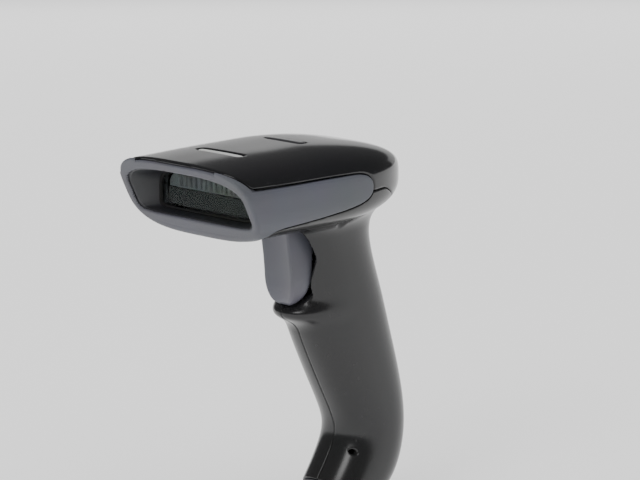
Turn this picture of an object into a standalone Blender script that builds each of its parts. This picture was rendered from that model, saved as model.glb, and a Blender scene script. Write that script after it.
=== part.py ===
"""Handheld barcode scanner: a pistol-grip body with a scanning head, a pulled trigger and a cable socket.

Every shape is drawn in the head's frame and then moved as a whole, so that the origin lies at the middle
of the hand grip. Head frame: x across (right side +X), y from the tip of the nose towards the tail,
z up from the parting plane between the top cover and the lower housing.
"""

import math

import bmesh
import bpy
from mathutils import Matrix, Vector

MM = 0.001

# ---- Overall sizes ----
HEAD_LENGTH = 115 * MM
HEAD_HALF_WIDTH = 38.2 * MM
HEAD_TOP = 16.5 * MM  # crown of the cover above the parting plane, at the nose
HEAD_TOP_RISE = 2.3 * MM  # how much higher the crown is behind the nose
HEAD_BOTTOM = 14.2 * MM
HEAD_CORNER = 3.5  # superellipse exponent of the head's cross-section
TAIL_START = 56 * MM  # where the head starts to round off towards the tail
TAIL_POWER = 2.13
NOSE_RAKE = 0.47  # how far the nose's face falls back for each unit it goes down
GRIP_ROUNDNESS = 2.4  # superellipse exponent of the grip's cross-section
GRIP_CENTRE = Vector((0, 96 * MM, -84 * MM))
BASE_NORMAL = Vector((0, -5.4, -15.9)).normalized()  # the base's flat face looks down and forwards
BASE_CENTRE = Vector((0, 85.9 * MM, -143.66 * MM))
PARTING_DROP = 10 * MM  # how far the cover's edge drops towards the tail
PARTING_BEND = 86 * MM  # where it starts to drop
PARTING_RUN = 18 * MM

# ---- Walls and clearances ----
WALL = 2.2 * MM
SIDE_WALL = 4.6 * MM  # the head's side wall, before the bumper's groove is taken from it
GAP = 0.3 * MM  # between two pieces that touch on the real thing
HALF_GAP = GAP / 2
FAR = 200 * MM  # longer than anything here, for cutters

# ---- Nose bumper ----
BUMPER_PROUD = 0.7 * MM
BUMPER_SKIN = 2.5 * MM
BUMPER_FRONT = 9.2 * MM  # depth of the front frame
COVER_LIP = 1.5 * MM  # thickness of the cover's edge above the front frame
# The bumper in side view: along the top of the band, round its end, back along the bottom to the chin.
BAND = [
    (-20, 11.6), (0, 11.2), (9, 10.5), (31, 9.8), (50, 9.4), (66, 8.9), (74, 8.1), (79.6, 6.4), (82.6, 4.2),
    (83.4, 1.9), (82.6, -0.4), (79.6, -2.5), (74, -4.1), (62, -5.6), (42, -7.0), (26.5, -8.0), (22.4, -8.8),
    (20.3, -10.8), (19.5, -13.8), (19.5, -30), (-20, -30),
]

# ---- Nose opening and window ----
OPENING_Z = 1.4 * MM
OPENING_HALF_WIDTH = 34 * MM
OPENING_UP = 10.2 * MM
OPENING_DOWN = 10.0 * MM
OPENING_CORNER = 4.0
OPENING_FLARE = 1.03  # the opening's size at the face, against its size at the window
WINDOW_RIM = 1.4 * MM
WINDOW_THICKNESS = 1.5 * MM
GASKET_THICKNESS = 0.8 * MM
POCKET_DEPTH = 6.0 * MM  # from the face to the pocket that the gasket and the window sit in
FRAME_DEPTH = 12.8 * MM
FRAME_SCALE = 0.88  # the window frame's opening, against the window's
LENS_PLATE_THICKNESS = 2.4 * MM
LENS_PLATE_HALF_WIDTH = 21 * MM
LENS_RIB = 2.8 * MM  # pitch of the lens plate's upright ribs

# ---- Indicator windows in the cover ----
STATUS_Y = 26 * MM
STATUS_SIZE = (26 * MM, 3.4 * MM, 6 * MM)
STATUS_SUNK = 0.6 * MM
REAR_Y = 52 * MM
REAR_SIZE = (22 * MM, 4 * MM, 6 * MM)
REAR_PROUD = 0.5 * MM

# ---- Trigger ----
TRIGGER_PIVOT = Vector((0, 60 * MM, -9 * MM))
TRIGGER_HALF_WIDTH = 8.8 * MM
TRIGGER_WALL = 2.0 * MM
TRIGGER_PULL = math.radians(3)
# Side view: down the front face, round the tip and up the back, under the housings' edges.
TRIGGER_OUTLINE = [
    (53.6, -13.2), (54.4, -22), (55.7, -30), (56.3, -38), (56.3, -44), (56.6, -48.6), (58.2, -50.3),
    (60.9, -49.5), (64.6, -45.8), (66.8, -40), (67.8, -33), (67.8, -22), (65.5, -12.5), (63.5, -6.5), (56.6, -6.5),
]
# The opening's edge in the housings, as it's seen from the side.
TRIGGER_OPENING = [
    (30, -13.9), (63.8, -13.9), (64.7, -20), (65.2, -29), (64.7, -37), (63.0, -43.2), (60.4, -48.2),
    (57.6, -51.6), (53, -53.4), (30, -55),
]
PIN_RADIUS = 1.5 * MM
BARREL_RADIUS = 3.6 * MM
PIN_RIB = 3.0 * MM
LIP_CENTRE = Vector((0, 69.5 * MM, -53.8 * MM))
LIP_SIZE = Vector((12.5 * MM, 11.4 * MM, 5 * MM))

# ---- Switch and boards ----
BOARD = 1.6 * MM
BOARD_LEAN = math.radians(15)
HANDLE_BOARD_TOP = Vector((0, 76 * MM, -18 * MM))
HANDLE_BOARD_LENGTH = 46 * MM
HANDLE_BOARD_HALF_WIDTH = 9 * MM
SWITCH_ALONG = 17.5 * MM  # from the board's top edge
SWITCH_SIZE = (6 * MM, 3.2 * MM, 6 * MM)
BUTTON_RADIUS = 1.6 * MM
BUTTON_OUT = 1.9 * MM
MAIN_BOARD_Z = 9 * MM
MAIN_BOARD_HALF_WIDTH = 18.5 * MM
MAIN_BOARD_FRONT = 26 * MM
MAIN_BOARD_BACK = 84 * MM
ENGINE_FRONT = 25.2 * MM
ENGINE_BACK = 49 * MM
ENGINE_HALF_WIDTH = 20 * MM
ENGINE_BOTTOM = -8 * MM
OPTICAL_AXIS_Z = 1 * MM
LENS_RADIUS = 5.5 * MM

# ---- Trigger spring ----
SPRING_RADIUS = 2.2 * MM
SPRING_WIRE = 0.35 * MM
SPRING_TURNS = 5
SPRING_Z = -43.2 * MM

# ---- Screws ----
SHANK_RADIUS = 1.3 * MM
SCREW_HEAD_RADIUS = 2.6 * MM
SCREW_HEAD_HEIGHT = 1.8 * MM
BOSS_RADIUS = 4.2 * MM
HEAD_SCREWS = [(27, 31), (-27, 31), (24, 72), (-24, 72)]
HEAD_SCREW_SEAT = -7.7 * MM
HEAD_SCREW_TOP = 10 * MM
GRIP_SCREWS = [(96, -30), (103, -64), (104, -100)]
GRIP_SCREW_SEAT = -8.9 * MM
GRIP_SCREW_END = 9 * MM

# ---- Base and cable socket ----
# The seam between the housings and the base bumper is an arc through these points in side view.
SEAM = [(76.6, -128.6), (97.5, -138), (119.8, -121)]
SOCKET_WIDTH = 15.6 * MM
SOCKET_HEIGHT = 11.4 * MM
SOCKET_DEPTH = 15 * MM
SOCKET_START = 6.6 * MM  # from the base's face to the socket's mouth
PLUG_WIDTH = 12 * MM
PLUG_HEIGHT = 7.6 * MM
PLUG_DEPTH = 12 * MM
RELEASE_HOLE = (88.5, -117.5)
RELEASE_RADIUS = 0.9 * MM

HEAD_SIDES = 36  # points round the head's cross-section
GRIP_SIDES = 28
CUTTER_SIDES = 20


def clear_scene():
    for obj in list(bpy.data.objects):
        bpy.data.objects.remove(obj)


def material(name, colour, roughness, metallic=0.0):
    made = bpy.data.materials.new(name)
    made.use_nodes = True
    shader = made.node_tree.nodes["Principled BSDF"]
    shader.inputs["Base Color"].default_value = (*colour, 1)
    shader.inputs["Roughness"].default_value = roughness
    shader.inputs["Metallic"].default_value = metallic
    return made


# ---- Shapes ----


def solid(name, work):
    """A new object from a bmesh, with its faces pointing out."""
    bmesh.ops.remove_doubles(work, verts=work.verts, dist=1e-6)
    bmesh.ops.recalc_face_normals(work, faces=work.faces)
    mesh = bpy.data.meshes.new(name)
    work.to_mesh(mesh)
    work.free()
    obj = bpy.data.objects.new(name, mesh)
    bpy.context.scene.collection.objects.link(obj)
    return obj


def loft(name, rings):
    """A closed solid through rings of points, all with the same count, capped at both ends."""
    work = bmesh.new()
    rows = [[work.verts.new(point) for point in ring] for ring in rings]
    for low, high in zip(rows, rows[1:]):
        for i in range(len(low)):
            j = (i + 1) % len(low)
            work.faces.new((low[i], low[j], high[j], high[i]))
    work.faces.new(rows[0])
    work.faces.new(rows[-1])
    return solid(name, work)


def prism_x(name, outline, low=-FAR, high=FAR):
    """A (y, z) outline extruded along x."""
    return loft(name, [[(x, y, z) for y, z in outline] for x in (low, high)])


def box(name, size, centre, turn=0.0):
    """A box of that size, turned about x."""
    work = bmesh.new()
    place = Matrix.Translation(centre) @ Matrix.Rotation(turn, 4, "X") @ Matrix.Diagonal((*size, 1))
    bmesh.ops.create_cube(work, size=1, matrix=place)
    return solid(name, work)


def cylinder(name, radius, length, centre, direction, sides=CUTTER_SIDES, top_radius=None):
    work = bmesh.new()
    place = Matrix.Translation(centre) @ Vector(direction).to_track_quat("Z", "Y").to_matrix().to_4x4()
    bmesh.ops.create_cone(
        work, cap_ends=True, segments=sides, radius1=radius,
        radius2=radius if top_radius is None else top_radius, depth=length, matrix=place,
    )
    return solid(name, work)


def combine(target, other, operation):
    """Applies one Boolean to target's mesh and removes other."""
    modifier = target.modifiers.new(operation, "BOOLEAN")
    modifier.operation = operation
    modifier.solver = "EXACT"
    modifier.object = other
    graph = bpy.context.evaluated_depsgraph_get()
    made = bpy.data.meshes.new_from_object(target.evaluated_get(graph))
    target.modifiers.clear()
    target.data = made
    bpy.data.objects.remove(other)
    return target


def cut(target, *cutters):
    for cutter in cutters:
        combine(target, cutter, "DIFFERENCE")
    return target


def join(target, *others):
    for other in others:
        combine(target, other, "UNION")
    return target


def keep(target, region):
    return combine(target, region, "INTERSECT")


def copy_of(obj, name):
    made = bpy.data.objects.new(name, obj.data.copy())
    bpy.context.scene.collection.objects.link(made)
    return made


def curve_through(points, steps):
    """A smooth line through (y, z) points, with steps pieces between each two."""
    ends = [2 * Vector(points[0]) - Vector(points[1]), *map(Vector, points)]
    ends.append(2 * Vector(points[-1]) - Vector(points[-2]))
    line = []
    for before, start, end, after in zip(ends, ends[1:], ends[2:], ends[3:]):
        for step in range(steps):
            t = step / steps
            line.append(
                0.5 * (2 * start + (end - before) * t + (2 * before - 5 * start + 4 * end - after) * t * t
                       + (3 * start - before - 3 * end + after) * t ** 3)
            )
    line.append(Vector(points[-1]))
    return [tuple(point) for point in line]


# ---- Head ----


def signed_power(value, power):
    return math.copysign(abs(value) ** power, value)


def squircle(half_width, up, down, exponent, count):
    """Points round a superellipse whose upper and lower halves differ in height."""
    points = []
    for i in range(count):
        angle = 2 * math.pi * (i + 0.5) / count
        x = half_width * signed_power(math.cos(angle), 2 / exponent)
        z = signed_power(math.sin(angle), 2 / exponent)
        points.append((x, z * (up if z > 0 else down)))
    return points


def head_stations():
    """Distances from the nose: even to the tail's start, then closer together as the tail rounds off."""
    front = [-2 * MM, 8 * MM, 22 * MM, 36 * MM]
    tail_angles = [0, 20, 36, 50, 62, 72, 80, 86]
    return front + [TAIL_START + (HEAD_LENGTH - TAIL_START) * math.sin(math.radians(a)) for a in tail_angles]


def head_share(y):
    """The share of its full section that the head has at y."""
    along = max(0.0, (y - TAIL_START) / (HEAD_LENGTH - TAIL_START))
    return (1 - along ** TAIL_POWER) ** (1 / TAIL_POWER)


def head_crown(y):
    return HEAD_TOP + HEAD_TOP_RISE * math.sin(math.pi / 2 * min(1.0, max(0.0, y / (40 * MM))))


def head_loft(name, side=0.0, top=0.0, bottom=0.0):
    """The head's outer form, with its sides, top and bottom moved in by those amounts."""
    rings = []
    for y in head_stations():
        share = head_share(y)
        inset = 1 if share > 0.5 else share / 0.5
        ring = squircle(
            HEAD_HALF_WIDTH * share - side * inset,
            head_crown(y) * share - top * inset,
            HEAD_BOTTOM * share - bottom * inset,
            HEAD_CORNER, HEAD_SIDES,
        )
        end = y - max(side, 0) * (1 - share)
        rings.append([(x, end, z) for x, z in ring])
    return loft(name, rings)


# ---- Grip ----

# Each station in side view: the front point's y and z, the back point's y and z, and half the width.
GRIP_STATIONS = [
    (43.5, -5, 106, -4, 25.2),
    (49.4, -12.9, 104.1, -11.1, 21.7),
    (54.4, -21.9, 101.3, -18.1, 19.0),
    (58.6, -31.8, 101.7, -25.2, 17.8),
    (62.2, -45.7, 104.9, -36.3, 17.3),
    (66.4, -60.6, 109.1, -49.4, 17.2),
    (73.1, -75.7, 112.8, -64.8, 17.1),
    (80.5, -90.7, 116.5, -80.3, 16.8),
    (86.4, -102.3, 119.6, -95.2, 16.5),
    (88.5, -109.4, 120.4, -107.1, 16.4),
    (86.3, -115.5, 120.0, -115.0, 16.4),
    (82.8, -121.4, 118.5, -123.1, 16.6),
    (78.9, -127.1, 115.2, -131.4, 16.5),
    (75.1, -131.8, 109.3, -138.2, 16.0),
    (73.2, -135.4, 103.3, -142.2, 14.9),
    (73.9, -138.7, 97.7, -145.1, 12.9),
    (76.9, -140.6, 92.8, -146.0, 10.3),
]


def grip_loft(name, inset=0.0):
    rings = []
    for front_y, front_z, back_y, back_z, half_width in GRIP_STATIONS:
        front, back = Vector((0, front_y, front_z)) * MM, Vector((0, back_y, back_z)) * MM
        middle, along = (front + back) / 2, (back - front).normalized()
        half_depth = (back - front).length / 2 - inset
        ring = squircle(half_width * MM - inset, half_depth, half_depth, GRIP_ROUNDNESS, GRIP_SIDES)
        rings.append([middle + Vector((x, 0, 0)) + along * depth for x, depth in ring])
    return loft(name, rings)


def nose_plane(depth):
    """Everything in front of the raked plane that lies depth behind the nose's face."""
    top, bottom = 60 * MM, -60 * MM
    return prism_x("nose_plane", [
        (NOSE_RAKE * (HEAD_TOP - top) + depth, top),
        (-FAR, top),
        (-FAR, bottom),
        (NOSE_RAKE * (HEAD_TOP - bottom) + depth, bottom),
    ])


def lip_solid(name):
    """The rounded lip under the trigger's tip."""
    work = bmesh.new()
    place = Matrix.Translation(LIP_CENTRE) @ Matrix.Diagonal((*LIP_SIZE, 1))
    bmesh.ops.create_uvsphere(work, u_segments=20, v_segments=12, radius=1, matrix=place)
    return solid(name, work)


def millimetres(outline):
    return [(y * MM, z * MM) for y, z in outline]


def grown(outline, by):
    """An outline with every side moved out by that much."""
    points = [Vector(point) for point in outline]
    area = sum(a.x * b.y - b.x * a.y for a, b in zip(points, points[1:] + points[:1]))
    turn = 1 if area > 0 else -1
    made = []
    for before, here, after in zip(points[-1:] + points[:-1], points, points[1:] + points[:1]):
        first, second = (here - before).normalized(), (after - here).normalized()
        normals = [Vector((side.y, -side.x)) * turn for side in (first, second)]
        middle = (normals[0] + normals[1]).normalized()
        made.append(tuple(here + middle * (by / max(0.3, middle.dot(normals[0])))))
    return made


def turned(outline, pivot, angle):
    """An outline turned about a point by an angle about x."""
    made = []
    for y, z in outline:
        dy, dz = y - pivot.y, z - pivot.z
        made.append((
            pivot.y + dy * math.cos(angle) - dz * math.sin(angle),
            pivot.z + dy * math.sin(angle) + dz * math.cos(angle),
        ))
    return made


def arc_through(first, middle, last, steps):
    """Points on the circle through three points, from the first to the last."""
    a, b, c = (Vector(point) for point in (first, middle, last))
    double = 2 * (a.x * (b.y - c.y) + b.x * (c.y - a.y) + c.x * (a.y - b.y))
    square = [point.length_squared for point in (a, b, c)]
    centre = Vector((
        (square[0] * (b.y - c.y) + square[1] * (c.y - a.y) + square[2] * (a.y - b.y)) / double,
        (square[0] * (c.x - b.x) + square[1] * (a.x - c.x) + square[2] * (b.x - a.x)) / double,
    ))
    radius = (a - centre).length
    angles = [math.atan2(point.y - centre.y, point.x - centre.x) for point in (a, c)]
    if angles[1] < angles[0]:
        angles[1] += 2 * math.pi
    return [
        (centre.x + radius * math.cos(angle), centre.y + radius * math.sin(angle))
        for angle in (angles[0] + (angles[1] - angles[0]) * i / steps for i in range(steps + 1))
    ]


def face_at(z):
    """Where the nose's raked face stands at height z."""
    return NOSE_RAKE * (HEAD_TOP - z)


def raked_ring(points, depth):
    """Points (x, z) laid on the plane that lies depth behind the nose's face."""
    return [(x, face_at(z) + depth, z) for x, z in points]


def opening_ring(depth, wider=0.0, scale=1.0):
    ring = squircle(
        OPENING_HALF_WIDTH * scale + wider, OPENING_UP * scale + wider, OPENING_DOWN * scale + wider,
        OPENING_CORNER, HEAD_SIDES,
    )
    return raked_ring([(x, z + OPENING_Z) for x, z in ring], depth)


# ---- Housings ----


def outer_body(name):
    return join(head_loft(name), grip_loft("grip"), lip_solid("lip"))


def below_seam(name, lift=0.0):
    """Everything below the base seam, moved up by lift."""
    arc = [(y * MM, z * MM + lift) for y, z in arc_through(*SEAM, 12)]
    start, end = arc[0], arc[-1]
    return prism_x(name, [
        (start[0] - 30 * MM, start[1]), *arc, (end[0] + 30 * MM, end[1]), (end[0] + 30 * MM, -FAR),
        (start[0] - 30 * MM, -FAR),
    ])


def above_parting(name, lift):
    """Everything that belongs to the top cover, moved up by lift."""
    return prism_x(name, [
        (-FAR, lift), (PARTING_BEND, lift), (PARTING_BEND + PARTING_RUN, lift - PARTING_DROP),
        (FAR, lift - PARTING_DROP), (FAR, FAR), (-FAR, FAR),
    ])


def make_shells():
    """The top cover, the two lower housings, the nose bumper and the base bumper."""
    outer = outer_body("outer")
    base_bumper = keep(copy_of(outer, "base_bumper"), below_seam("below", -HALF_GAP))
    inner = join(head_loft("inner", SIDE_WALL, WALL, WALL), grip_loft("grip", WALL))
    shell = cut(outer, inner, nose_plane(0))
    band = millimetres(BAND)
    inside = BUMPER_SKIN + GAP
    # The step of 0.1 mm keeps the two cutters from sharing a plane.
    inside = cut(head_loft("inside", inside, -5 * MM, inside), nose_plane(BUMPER_FRONT + GAP + 0.1 * MM))
    groove = cut(prism_x("groove", grown(band, GAP)), inside)
    front = keep(head_loft("front", COVER_LIP, COVER_LIP, COVER_LIP), nose_plane(BUMPER_FRONT + GAP))
    shell = cut(shell, groove, front)
    cover = keep(copy_of(shell, "top_cover"), above_parting("upper", HALF_GAP))
    lower = cut(shell, above_parting("upper", -HALF_GAP), below_seam("below", HALF_GAP))
    return cover, lower, base_bumper


def make_bumper():
    lip = COVER_LIP + GAP
    # The frame is drawn a little too deep, so that no two cutters share its back plane.
    frame = keep(head_loft("nose_bumper", lip, lip, lip), nose_plane(BUMPER_FRONT + 0.2 * MM))
    proud = -BUMPER_PROUD
    skin = keep(head_loft("skin", proud, proud, proud), prism_x("band", millimetres(BAND)))
    bumper = join(frame, skin)
    inside = cut(head_loft("inside", BUMPER_SKIN, -5 * MM, BUMPER_SKIN), nose_plane(BUMPER_FRONT))
    opening = loft("opening", [
        opening_ring(-3 * MM, scale=OPENING_FLARE + 0.02), opening_ring(POCKET_DEPTH),
        opening_ring(BUMPER_FRONT + 1 * MM),
    ])
    wider = WINDOW_RIM + GAP
    pocket = loft("pocket", [opening_ring(POCKET_DEPTH, wider), opening_ring(BUMPER_FRONT + 1 * MM, wider)])
    return cut(bumper, inside, nose_plane(0), opening, pocket)


def finish_cover(cover):
    """Bosses for the head screws, posts for the main board and the two indicator slots."""
    roof = HEAD_TOP - 1 * MM
    for x, y in HEAD_SCREWS:
        low = HALF_GAP
        centre = (x * MM, y * MM, (low + roof - 3 * MM) / 2)
        join(cover, cylinder("boss", BOSS_RADIUS, roof - 3 * MM - low, centre, (0, 0, 1)))
        top = HEAD_SCREW_TOP + 1 * MM
        centre = (x * MM, y * MM, top - 10 * MM)
        cut(cover, cylinder("bore", SHANK_RADIUS + GAP, 20 * MM, centre, (0, 0, 1), 14))
    low = MAIN_BOARD_Z + BOARD / 2 + GAP
    for x in (-15, 15):
        for y in (MAIN_BOARD_FRONT + 5 * MM, MAIN_BOARD_BACK - 6 * MM):
            centre = (x * MM, y, (low + roof + 1.6 * MM) / 2)
            join(cover, cylinder("post", 2 * MM, roof + 1.6 * MM - low, centre, (0, 0, 1), 12))
    for y, size in ((STATUS_Y, STATUS_SIZE), (REAR_Y, REAR_SIZE)):
        slot = (size[0] + 2 * GAP, size[1] + 2 * GAP, 20 * MM)
        cut(cover, box("slot", slot, (0, y, HEAD_TOP)))
    return cover


def trigger_room():
    """The space that the trigger sweeps, with clearance."""
    outline = millimetres(TRIGGER_OUTLINE)
    width = TRIGGER_HALF_WIDTH + 0.55 * MM
    parts = [
        prism_x("room", grown(turned(outline, TRIGGER_PIVOT, angle), 0.6 * MM), -width, width)
        for angle in (0, TRIGGER_PULL / 2, TRIGGER_PULL)
    ]
    return join(*parts)


def finish_lower(lower):
    """Cuts the trigger's opening, splits the shell down the middle and gives each half its bosses."""
    reach = 14 * MM
    cut(lower, prism_x("opening", millimetres(TRIGGER_OPENING), -reach, reach), trigger_room())
    halves = []
    for name, side in (("right_housing", 1), ("left_housing", -1)):
        near, far = sorted((side * HALF_GAP, side * FAR))
        half = keep(copy_of(lower, name), prism_x("side", [(-FAR, -FAR), (FAR, -FAR), (FAR, FAR), (-FAR, FAR)],
                                                  near, far))
        halves.append(fit_half(half, side))
    bpy.data.objects.remove(lower)
    return halves


def within_body(boss):
    """A boss cut back so that it never shows through the outside."""
    skin = 1 * MM
    return keep(boss, join(head_loft("core", skin, skin, skin), grip_loft("core", skin)))


def fit_half(half, side):
    # Upright tubes for the head screws.
    for x, y in HEAD_SCREWS:
        if x * side < 0:
            continue
        low, top = -HEAD_BOTTOM - 1 * MM, -HALF_GAP
        place = Vector((x * MM, y * MM, 0))
        tube = cylinder("tube", BOSS_RADIUS + 0.4 * MM, top - low, place + Vector((0, 0, (top + low) / 2)),
                        (0, 0, 1))
        join(half, within_body(tube))
        cut(half, cylinder("bore", SHANK_RADIUS + GAP, 40 * MM, place, (0, 0, 1), 14))
        sink = cylinder("sink", SCREW_HEAD_RADIUS + 0.5 * MM, 20 * MM,
                        place + Vector((0, 0, HEAD_SCREW_SEAT - 10 * MM)), (0, 0, 1))
        cut(half, sink)
    # Cross tubes for the grip screws, driven from the left.
    for y, z in GRIP_SCREWS:
        near, far = side * HALF_GAP, side * 20 * MM
        place = Vector((0, y * MM, z * MM))
        tube = cylinder("tube", BOSS_RADIUS, abs(far - near), place + Vector(((near + far) / 2, 0, 0)), (1, 0, 0))
        join(half, within_body(tube))
        if side < 0:
            bore_far = -30 * MM
            cut(half, cylinder("sink", SCREW_HEAD_RADIUS + 0.5 * MM, 20 * MM,
                               place + Vector((GRIP_SCREW_SEAT - 10 * MM, 0, 0)), (1, 0, 0)))
        else:
            bore_far = GRIP_SCREW_END + 1 * MM
        length = abs(bore_far) + 5 * MM
        cut(half, cylinder("bore", SHANK_RADIUS + GAP, length,
                           place + Vector((bore_far - side * length / 2, 0, 0)), (1, 0, 0), 14))
    # The trigger pin's rib.
    inner = TRIGGER_HALF_WIDTH + GAP
    rib_low, rib_top = -HEAD_BOTTOM + 1 * MM, TRIGGER_PIVOT.z + 4 * MM
    rib = box("rib", (PIN_RIB, 10 * MM, rib_top - rib_low),
              (side * (inner + 0.5 * MM + PIN_RIB / 2), TRIGGER_PIVOT.y, (rib_low + rib_top) / 2))
    join(half, rib)
    cut(half, cylinder("bore", PIN_RADIUS + GAP, 40 * MM, TRIGGER_PIVOT, (1, 0, 0), 14))
    # Shelves behind the handle board, and jaws beside the socket.
    turn = BOARD_LEAN
    for along in (8 * MM, 38 * MM):
        centre = board_point(along, BOARD / 2 + GAP + 1.5 * MM, side * 11.5 * MM)
        join(half, within_body(box("shelf", (9 * MM, 3 * MM, 3 * MM), centre, turn)))
    for centre, size, angle in socket_jaws(side):
        join(half, within_body(box("jaw", size, centre, angle)))
    if side > 0:
        y, z = RELEASE_HOLE
        cut(half, cylinder("release", RELEASE_RADIUS, 20 * MM, (16 * MM, y * MM, z * MM), (1, 0, 0), 12))
    return half


# ---- Handle board, switch and socket places ----


def board_point(along, behind=0.0, x=0.0):
    """A point that far down the handle board and that far behind its middle."""
    down = Vector((0, math.sin(BOARD_LEAN), -math.cos(BOARD_LEAN)))
    back = Vector((0, math.cos(BOARD_LEAN), math.sin(BOARD_LEAN)))
    return HANDLE_BOARD_TOP + down * along + back * behind + Vector((x, 0, 0))


def base_angle():
    """The turn about x that takes -z to the base's normal."""
    return math.atan2(BASE_NORMAL.y, -BASE_NORMAL.z)


def base_point(up, across=0.0, x=0.0):
    """A point that far inside the base's face, and that far towards the tail along it."""
    along = Vector((0, -BASE_NORMAL.z, BASE_NORMAL.y))
    return BASE_CENTRE - BASE_NORMAL * up + along * across + Vector((x, 0, 0))


def socket_jaws(side):
    middle = SOCKET_START + SOCKET_DEPTH / 2
    centre = base_point(middle, 0, side * (SOCKET_WIDTH / 2 + GAP + 2.5 * MM))
    return [(centre, (5 * MM, 5 * MM, 9 * MM), base_angle())]


def finish_base(base_bumper):
    passage = box("passage", (PLUG_WIDTH + 1 * MM, PLUG_HEIGHT + 1 * MM, 30 * MM), base_point(5 * MM), base_angle())
    recess = box("recess", (SOCKET_WIDTH + 2 * GAP, SOCKET_HEIGHT + 2 * GAP, 20 * MM),
                 base_point(SOCKET_START - GAP + 10 * MM), base_angle())
    return cut(base_bumper, passage, recess)


# ---- Front window ----


def make_window_parts():
    rim = WINDOW_RIM
    frame = head_loft("window_frame", SIDE_WALL + GAP, WALL + GAP, WALL + 2.5 * GAP)
    frame = cut(keep(frame, nose_plane(FRAME_DEPTH)), nose_plane(BUMPER_FRONT + GAP))
    cut(
        frame,
        loft("throat", [opening_ring(0, scale=FRAME_SCALE), opening_ring(FRAME_DEPTH + 1 * MM, scale=FRAME_SCALE)]),
    )
    low = POCKET_DEPTH + GAP
    gasket = loft("window_gasket", [opening_ring(low, rim), opening_ring(low + GASKET_THICKNESS, rim)])
    cut(gasket, loft("hole", [opening_ring(low - 1 * MM), opening_ring(low + 2 * MM)]))
    low += GASKET_THICKNESS + GAP
    window = loft("scan_window", [opening_ring(low, rim), opening_ring(low + WINDOW_THICKNESS, rim)])
    low += WINDOW_THICKNESS + GAP
    return frame, gasket, window, make_lens_plate(low)


def make_lens_plate(depth):
    """The illumination lens: a ribbed plate behind the window, with a slit for the engine's view."""
    half, up, down = LENS_PLATE_HALF_WIDTH, 9.4 * MM, -6.2 * MM
    count = round(2 * half / LENS_RIB)
    fronts = []
    for i in range(count):
        left = -half + 2 * half * i / count
        fronts += [(left, 0.7 * MM), (left + half / count, 0.0)]
    fronts.append((half, 0.7 * MM))
    work = bmesh.new()
    rows = []
    for z in (down, up):
        line = [(x, face_at(z) + depth + back, z) for x, back in fronts]
        line += [(x, face_at(z) + depth + LENS_PLATE_THICKNESS, z) for x in (half, -half)]
        rows.append([work.verts.new(point) for point in line])
    for i in range(len(rows[0])):
        j = (i + 1) % len(rows[0])
        work.faces.new((rows[0][i], rows[0][j], rows[1][j], rows[1][i]))
    for row in rows:
        work.faces.new(row)
    plate = solid("illumination_lens", work)
    return cut(plate, box("slit", (15 * MM, 40 * MM, 4.4 * MM), (0, 20 * MM, OPTICAL_AXIS_Z)))


# ---- Engine and boards ----


def make_engine():
    top = MAIN_BOARD_Z - BOARD / 2 - GAP
    depth = ENGINE_BACK - ENGINE_FRONT
    middle_y = (ENGINE_FRONT + ENGINE_BACK) / 2
    chassis = box("engine_chassis", (2 * ENGINE_HALF_WIDTH, depth, top - ENGINE_BOTTOM),
                  (0, middle_y, (top + ENGINE_BOTTOM) / 2))
    cut(
        chassis,
        cylinder("bore", LENS_RADIUS + GAP, 30 * MM, (0, ENGINE_FRONT, OPTICAL_AXIS_Z), (0, 1, 0), 24),
        box("chamber", (28 * MM, 20 * MM, 10 * MM), (0, ENGINE_BACK - 3 * MM, OPTICAL_AXIS_Z)),
        *[box("lightening", (8 * MM, 16 * MM, 20 * MM), (x * MM, middle_y, ENGINE_BOTTOM)) for x in (-14.5, 14.5)],
    )
    lens = cylinder("engine_lens", LENS_RADIUS, 9 * MM, (0, ENGINE_FRONT + 5 * MM, OPTICAL_AXIS_Z), (0, 1, 0), 24)
    cut(lens, cylinder("dish", 3.6 * MM, 3 * MM, (0, ENGINE_FRONT + 0.5 * MM, OPTICAL_AXIS_Z), (0, -1, 0), 20,
                       5 * MM))
    sensor_board = box("sensor_board", (34 * MM, BOARD, 14 * MM),
                       (0, ENGINE_BACK + GAP + BOARD / 2, OPTICAL_AXIS_Z - 0.6 * MM))
    sensor = box("image_sensor", (22 * MM, 2 * MM, 6 * MM), (0, ENGINE_BACK - 1 * MM, OPTICAL_AXIS_Z))
    led_y = ENGINE_FRONT - GAP - BOARD / 2
    lamps = box("illumination_board", (48 * MM, BOARD, 13 * MM), (0, led_y, OPTICAL_AXIS_Z + 0.2 * MM))
    cut(lamps, cylinder("view", LENS_RADIUS, 10 * MM, (0, led_y, OPTICAL_AXIS_Z), (0, 1, 0), 24))
    made = [chassis, lens, sensor_board, sensor, lamps]
    for i, x in enumerate((-19, -11, 11, 19), 1):
        led = box(f"illumination_led_{i}", (3.2 * MM, 1.4 * MM, 2.8 * MM),
                  (x * MM, led_y - BOARD / 2 - GAP - 0.7 * MM, OPTICAL_AXIS_Z + 3 * MM))
        made.append(led)
    return made


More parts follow.
